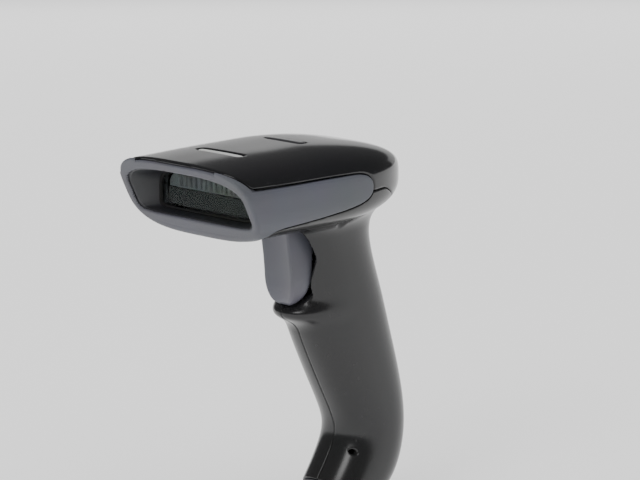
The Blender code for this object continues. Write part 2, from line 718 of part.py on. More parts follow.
def make_boards():
    length = MAIN_BOARD_BACK - MAIN_BOARD_FRONT
    middle = (MAIN_BOARD_BACK + MAIN_BOARD_FRONT) / 2
    main_board = box("main_board", (2 * MAIN_BOARD_HALF_WIDTH, length, BOARD), (0, middle, MAIN_BOARD_Z))
    above = MAIN_BOARD_Z + BOARD / 2 + GAP
    chip = box("decoder_chip", (12 * MM, 12 * MM, 1.4 * MM), (0, 66 * MM, above + 0.7 * MM))
    below = MAIN_BOARD_Z - BOARD / 2 - GAP
    beeper = cylinder("beeper", 6 * MM, 5 * MM, (-10 * MM, 66 * MM, below - 2.5 * MM), (0, 0, 1), 24)
    cut(beeper, cylinder("port", 1.2 * MM, 4 * MM, (-10 * MM, 66 * MM, below - 5 * MM), (0, 0, 1), 12))
    turn = BOARD_LEAN
    half = HANDLE_BOARD_LENGTH / 2
    handle_board = box("handle_board", (2 * HANDLE_BOARD_HALF_WIDTH, BOARD, HANDLE_BOARD_LENGTH),
                       board_point(half), turn)
    front = -(BOARD / 2 + GAP)
    switch = box("switch_body", SWITCH_SIZE, board_point(SWITCH_ALONG, front - SWITCH_SIZE[1] / 2), turn)
    direction = board_point(0, 1) - board_point(0)
    depth = 2.6 * MM
    face = front - SWITCH_SIZE[1]
    cut(switch, cylinder("well", BUTTON_RADIUS + GAP, 2 * depth, board_point(SWITCH_ALONG, face), direction, 16))
    inside = 0.8 * MM
    button = cylinder("switch_button", BUTTON_RADIUS, BUTTON_OUT + inside,
                      board_point(SWITCH_ALONG, face + (inside - BUTTON_OUT) / 2), direction, 16)
    return main_board, chip, beeper, handle_board, switch, button


def make_ribbon():
    """A flat cable from under the main board down to the back of the handle board."""
    behind = BOARD / 2 + GAP + 0.2 * MM
    start_z = MAIN_BOARD_Z - BOARD / 2 - GAP - 0.2 * MM
    end = board_point(6 * MM, behind)
    top = board_point(-2 * MM, behind)
    path = [
        (74 * MM, start_z), (79 * MM, start_z), (83 * MM, 4 * MM), (83 * MM, -4 * MM),
        (top.y + 1.5 * MM, -12 * MM), (top.y, top.z), (end.y, end.z),
    ]
    line = [Vector((0, y, z)) for y, z in curve_through(path, 4)]
    rings = []
    for i, point in enumerate(line):
        along = (line[min(i + 1, len(line) - 1)] - line[max(i - 1, 0)]).normalized()
        out = Vector((0, -along.z, along.y)) * (0.2 * MM)
        wide = Vector((4 * MM, 0, 0))
        rings.append([point + out + wide, point + out - wide, point - out - wide, point - out + wide])
    return loft("ribbon_cable", rings)


def make_socket():
    turn = base_angle()
    middle = SOCKET_START + SOCKET_DEPTH / 2
    jack = box("interface_jack", (SOCKET_WIDTH, SOCKET_HEIGHT, SOCKET_DEPTH), base_point(middle), turn)
    cavity = box("cavity", (PLUG_WIDTH, PLUG_HEIGHT, 2 * PLUG_DEPTH), base_point(SOCKET_START), turn)
    cut(jack, cavity)
    back = SOCKET_START + PLUG_DEPTH - GAP
    floor = -PLUG_HEIGHT / 2 + GAP
    contacts = box("jack_contacts", (10.4 * MM, 2 * MM, 1.6 * MM),
                   base_point(back - 0.8 * MM, floor + 1 * MM), turn)
    for i in range(10):
        x = (i - 4.5) * 1.02 * MM
        finger = box("finger", (0.4 * MM, 0.6 * MM, 7 * MM), base_point(back - 4 * MM, floor + 1 * MM, x), turn)
        join(contacts, finger)
    return jack, contacts


# ---- Trigger ----


def make_trigger():
    width = TRIGGER_HALF_WIDTH
    trigger = prism_x("trigger", millimetres(TRIGGER_OUTLINE), -width, width)
    bevel = trigger.modifiers.new("round", "BEVEL")
    bevel.width = 1.1 * MM
    bevel.segments = 2
    bevel.limit_method = "ANGLE"
    bevel.angle_limit = math.radians(60)
    graph = bpy.context.evaluated_depsgraph_get()
    made = bpy.data.meshes.new_from_object(trigger.evaluated_get(graph))
    trigger.modifiers.clear()
    trigger.data = made
    # Hollow from behind, with a rib that meets the switch.
    hollow = [(y * MM, z * MM) for y, z in [
        (57.4, -16), (58.6, -31), (59.2, -40), (60.2, -45.2), (80, -52), (80, -16)]]
    inside = width - TRIGGER_WALL
    cut(trigger, prism_x("hollow", hollow, -inside, inside))
    button = button_tip()
    rib = prism_x("rib", [
        (57.0 * MM, button.z + 3 * MM), (button.y - GAP - 0.5 * MM, button.z + 1.6 * MM),
        (button.y - GAP + 0.1 * MM, button.z - 1.2 * MM),
        (57.0 * MM, button.z - 3.6 * MM),
    ], -1.5 * MM, 1.5 * MM)
    join(trigger, rib)
    join(trigger, cylinder("barrel", BARREL_RADIUS, 2 * width, TRIGGER_PIVOT, (1, 0, 0), 24))
    cut(trigger, cylinder("bore", PIN_RADIUS + GAP, 60 * MM, TRIGGER_PIVOT, (1, 0, 0), 20))
    length = 2 * (width + GAP + 0.5 * MM + PIN_RIB)
    pin = cylinder("trigger_pin", PIN_RADIUS, length, TRIGGER_PIVOT, (1, 0, 0), 16)
    return trigger, pin


def button_tip():
    return board_point(SWITCH_ALONG, -(BOARD / 2 + GAP) - SWITCH_SIZE[1] - BUTTON_OUT)


def make_spring():
    """The trigger's return spring, from its hollow back to the handle board."""
    start = 60.4 * MM
    board = board_point(0)
    along = (board.z - SPRING_Z) / math.cos(BOARD_LEAN)
    end = board_point(along, -(BOARD / 2)).y - 1.3 * MM
    steps = 10 * SPRING_TURNS
    rings = []
    for i in range(steps + 1):
        angle = 2 * math.pi * SPRING_TURNS * i / steps
        y = start + (end - start) * i / steps
        centre = Vector((SPRING_RADIUS * math.cos(angle), y, SPRING_Z + SPRING_RADIUS * math.sin(angle)))
        out = Vector((math.cos(angle), 0, math.sin(angle)))
        side = Vector((0, 1, 0))
        rings.append([
            centre + (out * math.cos(turn) + side * math.sin(turn)) * SPRING_WIRE
            for turn in (math.pi / 3 * k for k in range(6))
        ])
    return loft("trigger_spring", rings)


# ---- Screws ----


def make_screw(name, seat, direction, length):
    """A pan-head screw whose head's underside is at seat and whose shank runs along direction."""
    direction = Vector(direction)
    seat = Vector(seat)
    head = cylinder(name, SCREW_HEAD_RADIUS * 0.8, SCREW_HEAD_HEIGHT, seat - direction * SCREW_HEAD_HEIGHT / 2,
                    direction, 20, SCREW_HEAD_RADIUS)
    shank = cylinder("shank", SHANK_RADIUS, length + 0.5 * MM, seat + direction * (length - 0.5 * MM) / 2,
                     direction, 14)
    join(head, shank)
    across = SCREW_HEAD_RADIUS * 1.2
    top = seat - direction * SCREW_HEAD_HEIGHT
    if abs(direction.z) > 0.5:
        sizes = [(across, 0.6 * MM, 1.8 * MM), (0.6 * MM, across, 1.8 * MM)]
    else:
        sizes = [(1.8 * MM, across, 0.6 * MM), (1.8 * MM, 0.6 * MM, across)]
    for size in sizes:
        cut(head, box("recess", size, top))
    return head


def make_screws():
    made = []
    for i, (x, y) in enumerate(HEAD_SCREWS, 1):
        seat = (x * MM, y * MM, HEAD_SCREW_SEAT - GAP)
        made.append(make_screw(f"head_screw_{i}", seat, (0, 0, 1), HEAD_SCREW_TOP - HEAD_SCREW_SEAT))
    for i, (y, z) in enumerate(GRIP_SCREWS, 1):
        seat = (GRIP_SCREW_SEAT - GAP, y * MM, z * MM)
        made.append(make_screw(f"grip_screw_{i}", seat, (1, 0, 0), GRIP_SCREW_END - GRIP_SCREW_SEAT))
    return made


# ---- Indicator windows ----


def make_indicators():
    status_top = head_crown(STATUS_Y) - STATUS_SUNK
    status = box("status_lens", STATUS_SIZE, (0, STATUS_Y, status_top - STATUS_SIZE[2] / 2))
    rear_top = head_crown(REAR_Y) * head_share(REAR_Y) + REAR_PROUD
    rear = box("rear_lens", REAR_SIZE, (0, REAR_Y, rear_top - REAR_SIZE[2] / 2))
    return status, rear


# ---- Everything together ----

FINISHES = {
    "gloss_black": ((0.012, 0.012, 0.013), 0.12, 0),
    "satin_black": ((0.016, 0.016, 0.017), 0.3, 0),
    "grey_rubber": ((0.085, 0.09, 0.105), 0.55, 0),
    "grey_plastic": ((0.1, 0.105, 0.12), 0.4, 0),
    "dark_plastic": ((0.02, 0.02, 0.022), 0.5, 0),
    "clear_window": ((0.6, 0.65, 0.68), 0.05, 0),
    "clear_lens": ((0.8, 0.82, 0.84), 0.1, 0),
    "smoke_lens": ((0.2, 0.2, 0.21), 0.2, 0),
    "foam": ((0.03, 0.03, 0.03), 0.9, 0),
    "board": ((0.01, 0.08, 0.03), 0.45, 0),
    "chip": ((0.02, 0.02, 0.022), 0.4, 0),
    "led": ((0.9, 0.85, 0.6), 0.25, 0),
    "steel": ((0.6, 0.6, 0.62), 0.3, 1),
    "gold": ((0.9, 0.7, 0.3), 0.25, 1),
    "optic": ((0.05, 0.03, 0.1), 0.05, 0),
    "cable": ((0.7, 0.72, 0.74), 0.4, 0),
}
FINISH_OF = {
    "top_cover": "gloss_black", "left_housing": "satin_black", "right_housing": "satin_black",
    "nose_bumper": "grey_rubber", "base_bumper": "grey_rubber", "window_frame": "dark_plastic",
    "window_gasket": "foam", "scan_window": "clear_window", "illumination_lens": "clear_lens",
    "status_lens": "smoke_lens", "rear_lens": "smoke_lens", "trigger": "grey_plastic", "trigger_pin": "steel",
    "trigger_spring": "steel", "switch_body": "chip", "switch_button": "grey_plastic", "handle_board": "board",
    "main_board": "board", "sensor_board": "board", "illumination_board": "board", "decoder_chip": "chip",
    "image_sensor": "optic", "engine_chassis": "dark_plastic", "engine_lens": "optic", "beeper": "chip",
    "ribbon_cable": "cable", "interface_jack": "dark_plastic", "jack_contacts": "gold",
}
# A moving piece's own origin lies on its joint.
ORIGINS = {"trigger": TRIGGER_PIVOT, "switch_button": button_tip()}


def settle(obj):
    """Moves the mesh into the final frame, puts its origin in place, and gives it its material and shading."""
    origin = ORIGINS.get(obj.name, GRIP_CENTRE)
    obj.data.transform(Matrix.Translation(-origin))
    obj.location = origin - GRIP_CENTRE
    name = obj.name
    if name.startswith("illumination_led"):
        finish = "led"
    elif "screw" in name:
        finish = "steel"
    else:
        finish = FINISH_OF[name]
    colour, roughness, metallic = FINISHES[finish]
    obj.data.materials.clear()
    obj.data.materials.append(material(name, colour, roughness, metallic))
    obj.data.shade_smooth()
    obj.data.set_sharp_from_angle(angle=math.radians(35))


def main():
    clear_scene()
    cover, lower, base_bumper = make_shells()
    pieces = [finish_cover(cover), *finish_lower(lower), make_bumper(), finish_base(base_bumper)]
    pieces += make_window_parts()
    pieces += make_engine()
    pieces += make_boards()
    pieces += make_socket()
    pieces += make_trigger()
    pieces += make_indicators()
    pieces += make_screws()
    pieces += [make_ribbon(), make_spring()]
    for piece in pieces:
        settle(piece)


main()
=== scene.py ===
"""A handheld barcode scanner's looks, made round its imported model.

Every moulding is drawn as a distance in millimetres, in the head's own frame: x across, y from the tip of the
nose towards the tail, z up from the plane where the cover meets the lower housing. in_place() moves it to the
model's frame, whose origin lies in the middle of the grip.
"""

import math

import bpy
import numpy as np
from mathutils import Matrix, Quaternion, Vector


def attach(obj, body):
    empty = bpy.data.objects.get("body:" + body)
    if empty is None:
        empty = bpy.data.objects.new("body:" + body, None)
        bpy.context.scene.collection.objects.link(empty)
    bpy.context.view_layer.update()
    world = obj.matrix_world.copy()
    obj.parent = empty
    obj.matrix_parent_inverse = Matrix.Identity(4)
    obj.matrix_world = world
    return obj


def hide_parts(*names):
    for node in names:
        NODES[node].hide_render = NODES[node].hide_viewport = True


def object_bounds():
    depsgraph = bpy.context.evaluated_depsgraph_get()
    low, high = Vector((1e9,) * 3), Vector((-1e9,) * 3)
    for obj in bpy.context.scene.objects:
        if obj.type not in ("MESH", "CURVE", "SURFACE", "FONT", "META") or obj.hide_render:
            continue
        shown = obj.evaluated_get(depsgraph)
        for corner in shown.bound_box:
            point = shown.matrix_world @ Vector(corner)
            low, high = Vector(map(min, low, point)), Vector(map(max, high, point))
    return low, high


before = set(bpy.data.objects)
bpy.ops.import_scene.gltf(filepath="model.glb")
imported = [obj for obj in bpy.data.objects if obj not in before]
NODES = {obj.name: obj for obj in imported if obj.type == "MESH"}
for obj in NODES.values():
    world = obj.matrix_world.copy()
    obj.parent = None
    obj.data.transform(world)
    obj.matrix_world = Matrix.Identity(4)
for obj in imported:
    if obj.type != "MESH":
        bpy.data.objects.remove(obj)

CAD_BOX = [list(corner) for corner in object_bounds()]

MM = 0.001
GRIP_CENTRE = np.array((0.0, 96.0, -84.0))

# ---- Sizes, in millimetres ----
HEAD_LENGTH, HEAD_HALF_WIDTH = 115, 38.3
HEAD_WIDEST = 2.4  # the height at which the head is widest
HEAD_TOP, HEAD_RISE, HEAD_BOTTOM, BELLY_DROP = 18.2, 0.6, 13.3, 1.6
HEAD_CORNER, BELLY_CORNER = 3.2, 3.4
FACE_TOP = 16.5
NOSE_BOW = 0.5  # how far the face goes back at its ends
COVER_SET_BACK = 0.3  # how far the cover's front edge lies back in the middle
NOSE_SWEEP = 5.4  # and how much more at its corners
TAIL_START, TAIL_POWER = 56, 2.13
NOSE_RAKE = 0.47
GRIP_ROUNDNESS = 2.4
BASE_CENTRE = (85.9, -143.66)
BASE_NORMAL = (-0.3216, -0.9469)
# Down the grip: the front point's y and z, the back point's y and z, and half the width.
GRIP_STATIONS = [
    (43.5, -5, 106, -4, 25.2), (49.4, -12.9, 104.1, -11.1, 21.7),
    (54.4, -21.9, 101.3, -18.1, 19.0), (58.6, -31.8, 101.7, -25.2, 17.8),
    (62.2, -45.7, 104.9, -36.3, 17.3), (66.4, -60.6, 109.4, -49.4, 17.2),
    (73.1, -75.7, 113.4, -64.8, 17.1), (80.5, -90.7, 117.7, -80.3, 16.8),
    (86.4, -102.3, 121.0, -95.2, 16.5), (88.5, -109.4, 121.9, -107.1, 16.4),
    (86.3, -115.5, 121.4, -115.0, 16.4), (82.8, -121.4, 119.6, -123.1, 16.6),
    (78.9, -127.1, 115.8, -131.4, 16.5), (75.1, -131.8, 109.3, -138.2, 16.0),
    (73.2, -135.4, 103.3, -142.2, 14.9), (73.9, -138.7, 97.7, -145.1, 12.9),
    (76.9, -140.6, 92.8, -146.0, 10.3),
]
WALL = 2.2
SEAM_GAP = 0.2
BUMPER_PROUD, BUMPER_SKIN, BUMPER_FRONT, COVER_LIP = 0.5, 2.5, 8.3, 1.2
BAND = [
    (-20, 10.1), (0, 9.8), (9, 9.2), (31, 8.7), (48, 8.6), (61, 8.4), (68.5, 8.0), (73.4, 6.7), (76.0, 4.4),
    (76.6, 1.9), (75.8, -0.6), (72.8, -2.7), (67.5, -4.2), (57, -5.6), (42, -7.0), (27, -8.0), (22.4, -9.0),
    (20.3, -11), (19.5, -13.8), (19.5, -30), (-20, -30),
]
OPENING_Z, OPENING_HALF_WIDTH, OPENING_UP, OPENING_DOWN = 2.6, 35.2, 10.2, 9.8
OPENING_CORNERS = (3.0, 10.0)  # how square the opening is at its upper and its lower corners
POCKET_DEPTH, WINDOW_RIM = 1.5, 1.8
WINDOW_Y, FUNNEL_IN = 20.0, 8.5  # the window's place, and how much the funnel narrows on the way to it
SHADOW_GAP = 1.0
TRIGGER_PIVOT = (60, -9)
TRIGGER_FRONT = [
    (53.6, -13.2), (54.6, -22), (55.6, -30), (56.3, -38), (56.5, -44), (57.0, -48.4), (58.4, -50.3),
]
TRIGGER_BACK = [
    (60.9, -49.5), (64.6, -45.8), (66.8, -40), (67.8, -33), (67.8, -22), (65.5, -12.5), (63.5, -6.5),
    (56.6, -6.5),
]
TRIGGER_OPENING = [
    (30, -13.9), (63.8, -13.9), (64.9, -20), (65.4, -29), (65.0, -37), (63.6, -43), (61.2, -48),
    (58.0, -51.6), (53, -53.6), (30, -55),
]
LIP_CENTRE, LIP_SIZE = (0, 69.5, -53.8), (12.5, 11.4, 5)
BASE_SEAM = [(76.6, -128.6), (97.5, -138.0), (119.8, -121.0)]
HEAD_SCREWS = [(27, 31), (-27, 31), (24, 72), (-24, 72)]
GRIP_SCREWS = [(96, -30), (103, -64), (104, -100)]
SINK_RADIUS, BORE_RADIUS, BOSS_RADIUS = 3.1, 1.6, 4.6
RELEASE_HOLE = (88.5, -117.5)
STATUS_SLOT, REAR_SLOT = (26, 26.6, 4.0), (62, 22.6, 4.6)  # y, length across and width along
STATUS_BAR_TOP, REAR_BAR_TOP = 18.55, 19.1
BAR_CROWN = 900
DIFFUSER_FOOT = 2.6
DIFFUSER_RIB = (0.9, 6.0)  # radius and length
RIB_PITCH, RIB_COUNT = 3.0, 13
HEAD_SCREW_Z, GRIP_SCREW_X = -9.8, -11.0  # where the screws' heads end
SCREW_RECESS = (3.0, 0.7, 2.2)  # length and width of each arm, and twice its depth
SPRING_START = (0.0, 60.5, -43.2)


# ---- Distances: negative inside a shape, in millimetres ----


def fused(first, second, radius):
    """Two shapes joined with a fillet."""
    near = np.maximum(radius - np.abs(first - second), 0) / radius
    return np.minimum(first, second) - near * near * radius / 4


def trimmed(first, second, radius):
    """What two shapes share, with its edge rounded over."""
    near = np.maximum(radius - np.abs(first - second), 0) / radius
    return np.maximum(first, second) + near * near * radius / 4


def smooth_line(points, steps, closed=False):
    """A cubic through points, with steps pieces between each two."""
    points = np.array(points, float)
    if closed:
        ends = np.vstack([points[-1:], points, points[:2]])
    else:
        ends = np.vstack([2 * points[0] - points[1], points, 2 * points[-1] - points[-2]])
    line = []
    for before, start, end, after in zip(ends, ends[1:], ends[2:], ends[3:]):
        for step in range(steps):
            t = step / steps
            bend = 2 * before - 5 * start + 4 * end - after
            turn = 3 * start - before - 3 * end + after
            line.append(0.5 * (2 * start + (end - before) * t + bend * t * t + turn * t ** 3))
    if not closed:
        line.append(points[-1])
    return np.array(line)


def faired(points, steps):
    """A smooth cubic that passes close by its points and has no kinks, for a form that reflects."""
    points = np.array(points, float)
    ends = np.vstack([2 * points[0] - points[1], points, 2 * points[-1] - points[-2]])
    line = []
    for a, b, c, d in zip(ends, ends[1:], ends[2:], ends[3:]):
        for step in range(steps):
            t = step / steps
            line.append(((1 - t) ** 3 * a + (3 * t ** 3 - 6 * t * t + 4) * b
                         + (-3 * t ** 3 + 3 * t * t + 3 * t + 1) * c + t ** 3 * d) / 6)
    line.append((ends[-3] + 4 * ends[-2] + ends[-1]) / 6)
    return np.array(line)


class SideMap:
    """Quantities of y and z alone, worked out once on a fine grid and read between its points."""

    def __init__(self, measure, low, high, step=0.25):
        self.low, self.step = low, step
        counts = [int((top - bottom) / step) + 2 for bottom, top in zip(low, high)]
        y, z = [bottom + step * np.arange(count) for bottom, count in zip(low, counts)]
        self.layers = measure(y[:, None], z[None, :])

    def __call__(self, y, z):
        rows, columns = self.layers[0].shape
        across = np.clip((y - self.low[0]) / self.step, 0, rows - 1.001)
        up = np.clip((z - self.low[1]) / self.step, 0, columns - 1.001)
        i, j = across.astype(int), up.astype(int)
        across, up = across - i, up - j
        found = [(layer[i, j] * (1 - up) + layer[i, j + 1] * up) * (1 - across)
                 + (layer[i + 1, j] * (1 - up) + layer[i + 1, j + 1] * up) * across for layer in self.layers]
        return found if len(found) > 1 else found[0]


def from_outline(outline):
    """The distance from a closed outline in side view."""
    def measure(y, z):
        best = np.full(np.broadcast(y, z).shape, 1e9)
        inside = np.zeros(best.shape, bool)
        for (ay, az), (by, bz) in zip(outline, np.roll(outline, -1, axis=0)):
            dy, dz = by - ay, bz - az
            share = np.clip(((y - ay) * dy + (z - az) * dz) / (dy * dy + dz * dz + 1e-12), 0, 1)
            best = np.minimum(best, (y - ay - share * dy) ** 2 + (z - az - share * dz) ** 2)
            crossed = (az > z) != (bz > z)
            inside ^= crossed & (y < ay + (z - az) * dy / (dz if abs(dz) > 1e-12 else 1e-12))
        return [np.where(inside, -1, 1) * np.sqrt(best)]
    return measure


def head_shape(x, y, z):
    """The scanning head: a squircle section that closes over the tail."""
    along = np.maximum(y - TAIL_START, 0) / (HEAD_LENGTH - TAIL_START)
    crown = HEAD_TOP + HEAD_RISE * np.sin(math.pi / 2 * np.clip(y / 40, 0, 1))
    upper = z > HEAD_WIDEST
    deep = np.clip((y - 8) / 16, 0, 1)
    belly = HEAD_BOTTOM + BELLY_DROP * deep * deep * (3 - 2 * deep)
    height = np.where(upper, crown - HEAD_WIDEST, belly + HEAD_WIDEST)
    across, up = np.abs(x) / HEAD_HALF_WIDTH, np.abs(z - HEAD_WIDEST) / height
    n, p = np.where(upper, HEAD_CORNER, BELLY_CORNER), TAIL_POWER
    section = np.maximum((across ** n + up ** n) ** (1 / n), 1e-6)
    whole = np.maximum((section ** p + along ** p) ** (1 / p), 1e-6)
    steep = (section / whole) ** (p - 1)
    slope = np.sqrt((steep * (across / section) ** (n - 1) / HEAD_HALF_WIDTH) ** 2
                    + (steep * (up / section) ** (n - 1) / height) ** 2
                    + ((along / whole) ** (p - 1) / (HEAD_LENGTH - TAIL_START)) ** 2)
    return (whole - 1) / np.maximum(slope, 1 / 60)


def grip_measures(y, z):
    """For points in side view: the place between the grip's front and back, its half width and half depth."""
    stations = faired(GRIP_STATIONS, 12)
    front, back, width = stations[:, :2], stations[:, 2:4], stations[:, 4]
    middle, half = (front + back) / 2, (back - front) / 2
    depth = np.hypot(half[:, 0], half[:, 1])
    unit = half / depth[:, None]
    shape = np.broadcast(y, z).shape
    found = np.zeros((3, *shape))
    found[0] = 9
    for j in range(len(stations)):
        dy, dz = y - middle[j, 0], z - middle[j, 1]
        above = dz * unit[j, 0] - dy * unit[j, 1]
        here = np.stack([(dy * unit[j, 0] + dz * unit[j, 1]) / depth[j], np.full(shape, width[j]),
                         np.full(shape, depth[j])])
        if j == 0:
            found = np.where(above >= 0, here, found)
        else:
            share = last_above / np.where(last_above == above, -1, last_above - above)
            mixed = last_here * (1 - share) + here * share
            chosen = (last_above < 0) & (above >= 0) & (np.abs(mixed[0]) < np.abs(found[0]))
            found = np.where(chosen, mixed, found)
        last_above, last_here = above, here
    return np.where((last_above < 0) & (found[0] > 8), last_here, found)


ALONG_GRIP = SideMap(grip_measures, (34, -156), (132, 4), 0.4)


def grip_shape(x, y, z):
    """The grip: squircle sections that follow its side view, ended by the base's flat face."""
    along, width, depth = ALONG_GRIP(y, z)
    across, along = np.abs(x) / width, np.abs(along)
    m = GRIP_ROUNDNESS
    size = np.maximum((across ** m + along ** m) ** (1 / m), 1e-6)
    slope = np.hypot((across / size) ** (m - 1) / width, (along / size) ** (m - 1) / depth)
    side = (size - 1) / np.maximum(slope, 1 / 40)
    base = (y - BASE_CENTRE[0]) * BASE_NORMAL[0] + (z - BASE_CENTRE[1]) * BASE_NORMAL[1]
    return np.maximum(trimmed(side, base, 2.5), z + 3)


def ball(x, y, z, centre, size):
    reach = np.sqrt(((x - centre[0]) / size[0]) ** 2 + ((y - centre[1]) / size[1]) ** 2
                    + ((z - centre[2]) / size[2]) ** 2)
    return (reach - 1) * min(size)


def rod(first, second, centre, radius):
    """A round bar seen end on."""
    return np.hypot(first - centre[0], second - centre[1]) - radius


def outside(x, y, z):
    """The whole body's skin: head, grip and the lip under the trigger."""
    body = fused(head_shape(x, y, z), grip_shape(x, y, z), 7)
    return fused(body, ball(x, y, z, LIP_CENTRE, LIP_SIZE), 5)


def hollow(x, y, z):
    inner_head = np.maximum(head_shape(x, y, z) + WALL, np.abs(x) - 33.4)
    return fused(inner_head, np.maximum(grip_shape(x, y, z) + WALL, z + 2), 4)


def behind_nose(y, z, depth=0.0):
    """How far a point lies in front of the raked plane that is depth behind the nose's face."""
    return (np.maximum(NOSE_RAKE * (FACE_TOP - z), 0.2) + depth - y) / math.hypot(1, NOSE_RAKE)


def sweep(x):
    """How far back from the face the cover's front edge runs."""
    return COVER_SET_BACK + NOSE_SWEEP * np.minimum(np.abs(x) / 35, 1.15) ** 3


def bow(x):
    return NOSE_BOW * (x / 34) ** 2


def parting(y):
    """The height of the cover's lower edge."""
    share = np.clip((y - 84) / 22, 0, 1)
    return -10 * share * share * (3 - 2 * share)


BAND_SHAPE = SideMap(from_outline(smooth_line(BAND, 6, closed=True)), (-8, -22), (92, 20))
OPENING_SHAPE = SideMap(from_outline(smooth_line(TRIGGER_OPENING, 6, closed=True)), (40, -62), (76, -4))
TRIGGER_OUTLINE = np.vstack([smooth_line(TRIGGER_FRONT, 8), smooth_line(TRIGGER_BACK, 5)])
TRIGGER_SHAPE = SideMap(from_outline(TRIGGER_OUTLINE), (44, -60), (80, 0))


def seam_circle():
    (ay, az), (by, bz), (cy, cz) = BASE_SEAM
    double = 2 * (ay * (bz - cz) + by * (cz - az) + cy * (az - bz))
    squares = [ay * ay + az * az, by * by + bz * bz, cy * cy + cz * cz]
    centre_y = (squares[0] * (bz - cz) + squares[1] * (cz - az) + squares[2] * (az - bz)) / double
    centre_z = (squares[0] * (cy - by) + squares[1] * (ay - cy) + squares[2] * (by - ay)) / double
    return centre_y, centre_z, math.hypot(ay - centre_y, az - centre_z)


SEAM_Y, SEAM_Z, SEAM_RADIUS = seam_circle()


def above_boot(y, z):
    """Above the arc of the boot's seam."""
    (ay, az), _, (cy, cz) = BASE_SEAM
    chord = ((az - z) * (cy - ay) + (cz - az) * (y - ay)) / math.hypot(cy - ay, cz - az)
    return np.minimum(np.hypot(y - SEAM_Y, z - SEAM_Z) - SEAM_RADIUS, chord)


def window_hole(x, y, z, wider=0.0, flare=0.0):
    """The nose's opening, which flares at its face and narrows towards the window."""
    face = NOSE_RAKE * (FACE_TOP - z)
    share = np.clip((y - face) / np.maximum(WINDOW_Y - face, 4), 0, 1.2)
    out = wider + flare * np.clip(1 + behind_nose(y, z) / 2.2, 0, 1) ** 2
    n = np.where(z > OPENING_Z, *OPENING_CORNERS)
    up = np.where(z > OPENING_Z, OPENING_UP - share, OPENING_DOWN - 1.2 * share) + out
    across = np.abs(x) / (OPENING_HALF_WIDTH + out - FUNNEL_IN * share)
    rise = np.abs(z - OPENING_Z) / up
    size = np.maximum((across ** n + rise ** n) ** (1 / n), 1e-6)
    slope = np.hypot((across / size) ** (n - 1) / OPENING_HALF_WIDTH, (rise / size) ** (n - 1) / up)
    return (size - 1) / np.maximum(slope, 1 / 40)


def slot(x, y, slot_size, grow=0.0):
    """A slot with round ends across the cover, seen from above."""
    middle, length, width = slot_size
    radius = width / 2
    return np.hypot(np.maximum(np.abs(x) - length / 2 + radius, 0), y - middle) - radius - grow


# ---- The mouldings ----


def cover_form(x, y, z):
    skin, head = outside(x, y, z), head_shape(x, y, z)
    form = trimmed(skin, parting(y) + SEAM_GAP / 2 - z, 0.6)
    form = trimmed(form, behind_nose(y, z, sweep(x)), 1.1)
    reveal = SEAM_GAP + 0.8 * np.clip(1 - y / 75, 0, 1)
    groove = np.maximum(BAND_SHAPE(y, z) - reveal, -(head + BUMPER_SKIN + 0.3))
    form = trimmed(form, -groove, 1.3)
    front = np.maximum(head + COVER_LIP, -behind_nose(y, z, BUMPER_FRONT + 0.4))
    form = np.maximum(form, -front)
    form = np.maximum(form, -hollow(x, y, z))
    for size, sink in ((STATUS_SLOT, 1.0), (REAR_SLOT, 0.5)):
        form = trimmed(form, -slot(x, y, size), sink)
    return form


def boss(first, second, centre, skin):
    return np.maximum(rod(first, second, centre, BOSS_RADIUS), skin + 1)


def lower_form(x, y, z):
    skin, head = outside(x, y, z), head_shape(x, y, z)
    form = trimmed(skin, z - parting(y) + SEAM_GAP / 2, 0.6)
    groove = np.maximum(BAND_SHAPE(y, z) - SEAM_GAP, -(head + BUMPER_SKIN + 0.3))
    form = trimmed(form, -groove, 0.6)
    front = np.maximum(head + COVER_LIP, -behind_nose(y, z, BUMPER_FRONT + 0.4))
    form = np.maximum(form, -front)
    form = trimmed(form, above_boot(y, z) + SEAM_GAP / 2, 0.6)
    form = np.maximum(form, -hollow(x, y, z))
    opening = trimmed(OPENING_SHAPE(y, z), np.abs(x) - 14, 1)
    form = trimmed(form, -opening, 1.3)
    room = np.maximum(TRIGGER_SHAPE(y, z) - 1.2, np.abs(x) - 10.7)
    return trimmed(form, -room, 0.4)


def half_form(side):
    """One half of the lower housing: +1 is the right half and -1 the left."""
    def form(x, y, z):
        half = lower_form(x, y, z)
        skin = outside(x, y, z)
        for across, along in HEAD_SCREWS:
            if across * side > 0:
                post = np.maximum(boss(x, y, (across, along), skin), z - parting(y) + 0.3)
                half = np.minimum(half, post)
                half = np.maximum(half, -rod(x, y, (across, along), BORE_RADIUS))
                sink = np.maximum(rod(x, y, (across, along), SINK_RADIUS), z + 7.7)
                half = trimmed(half, -sink, 0.5)
        for along, height in GRIP_SCREWS:
            half = np.minimum(half, boss(y, z, (along, height), skin))
            bore = rod(y, z, (along, height), BORE_RADIUS)
            if side > 0:
                half = np.maximum(half, -np.maximum(bore, x - 10))
            else:
                half = np.maximum(half, -bore)
                half = trimmed(half, -np.maximum(rod(y, z, (along, height), SINK_RADIUS), x + 8.9), 0.5)
        if side > 0:
            half = trimmed(half, -np.maximum(rod(y, z, RELEASE_HOLE, 1.1), 8 - x), 0.5)
        return trimmed(half, 0.05 - x * side, 0.25)
    return form


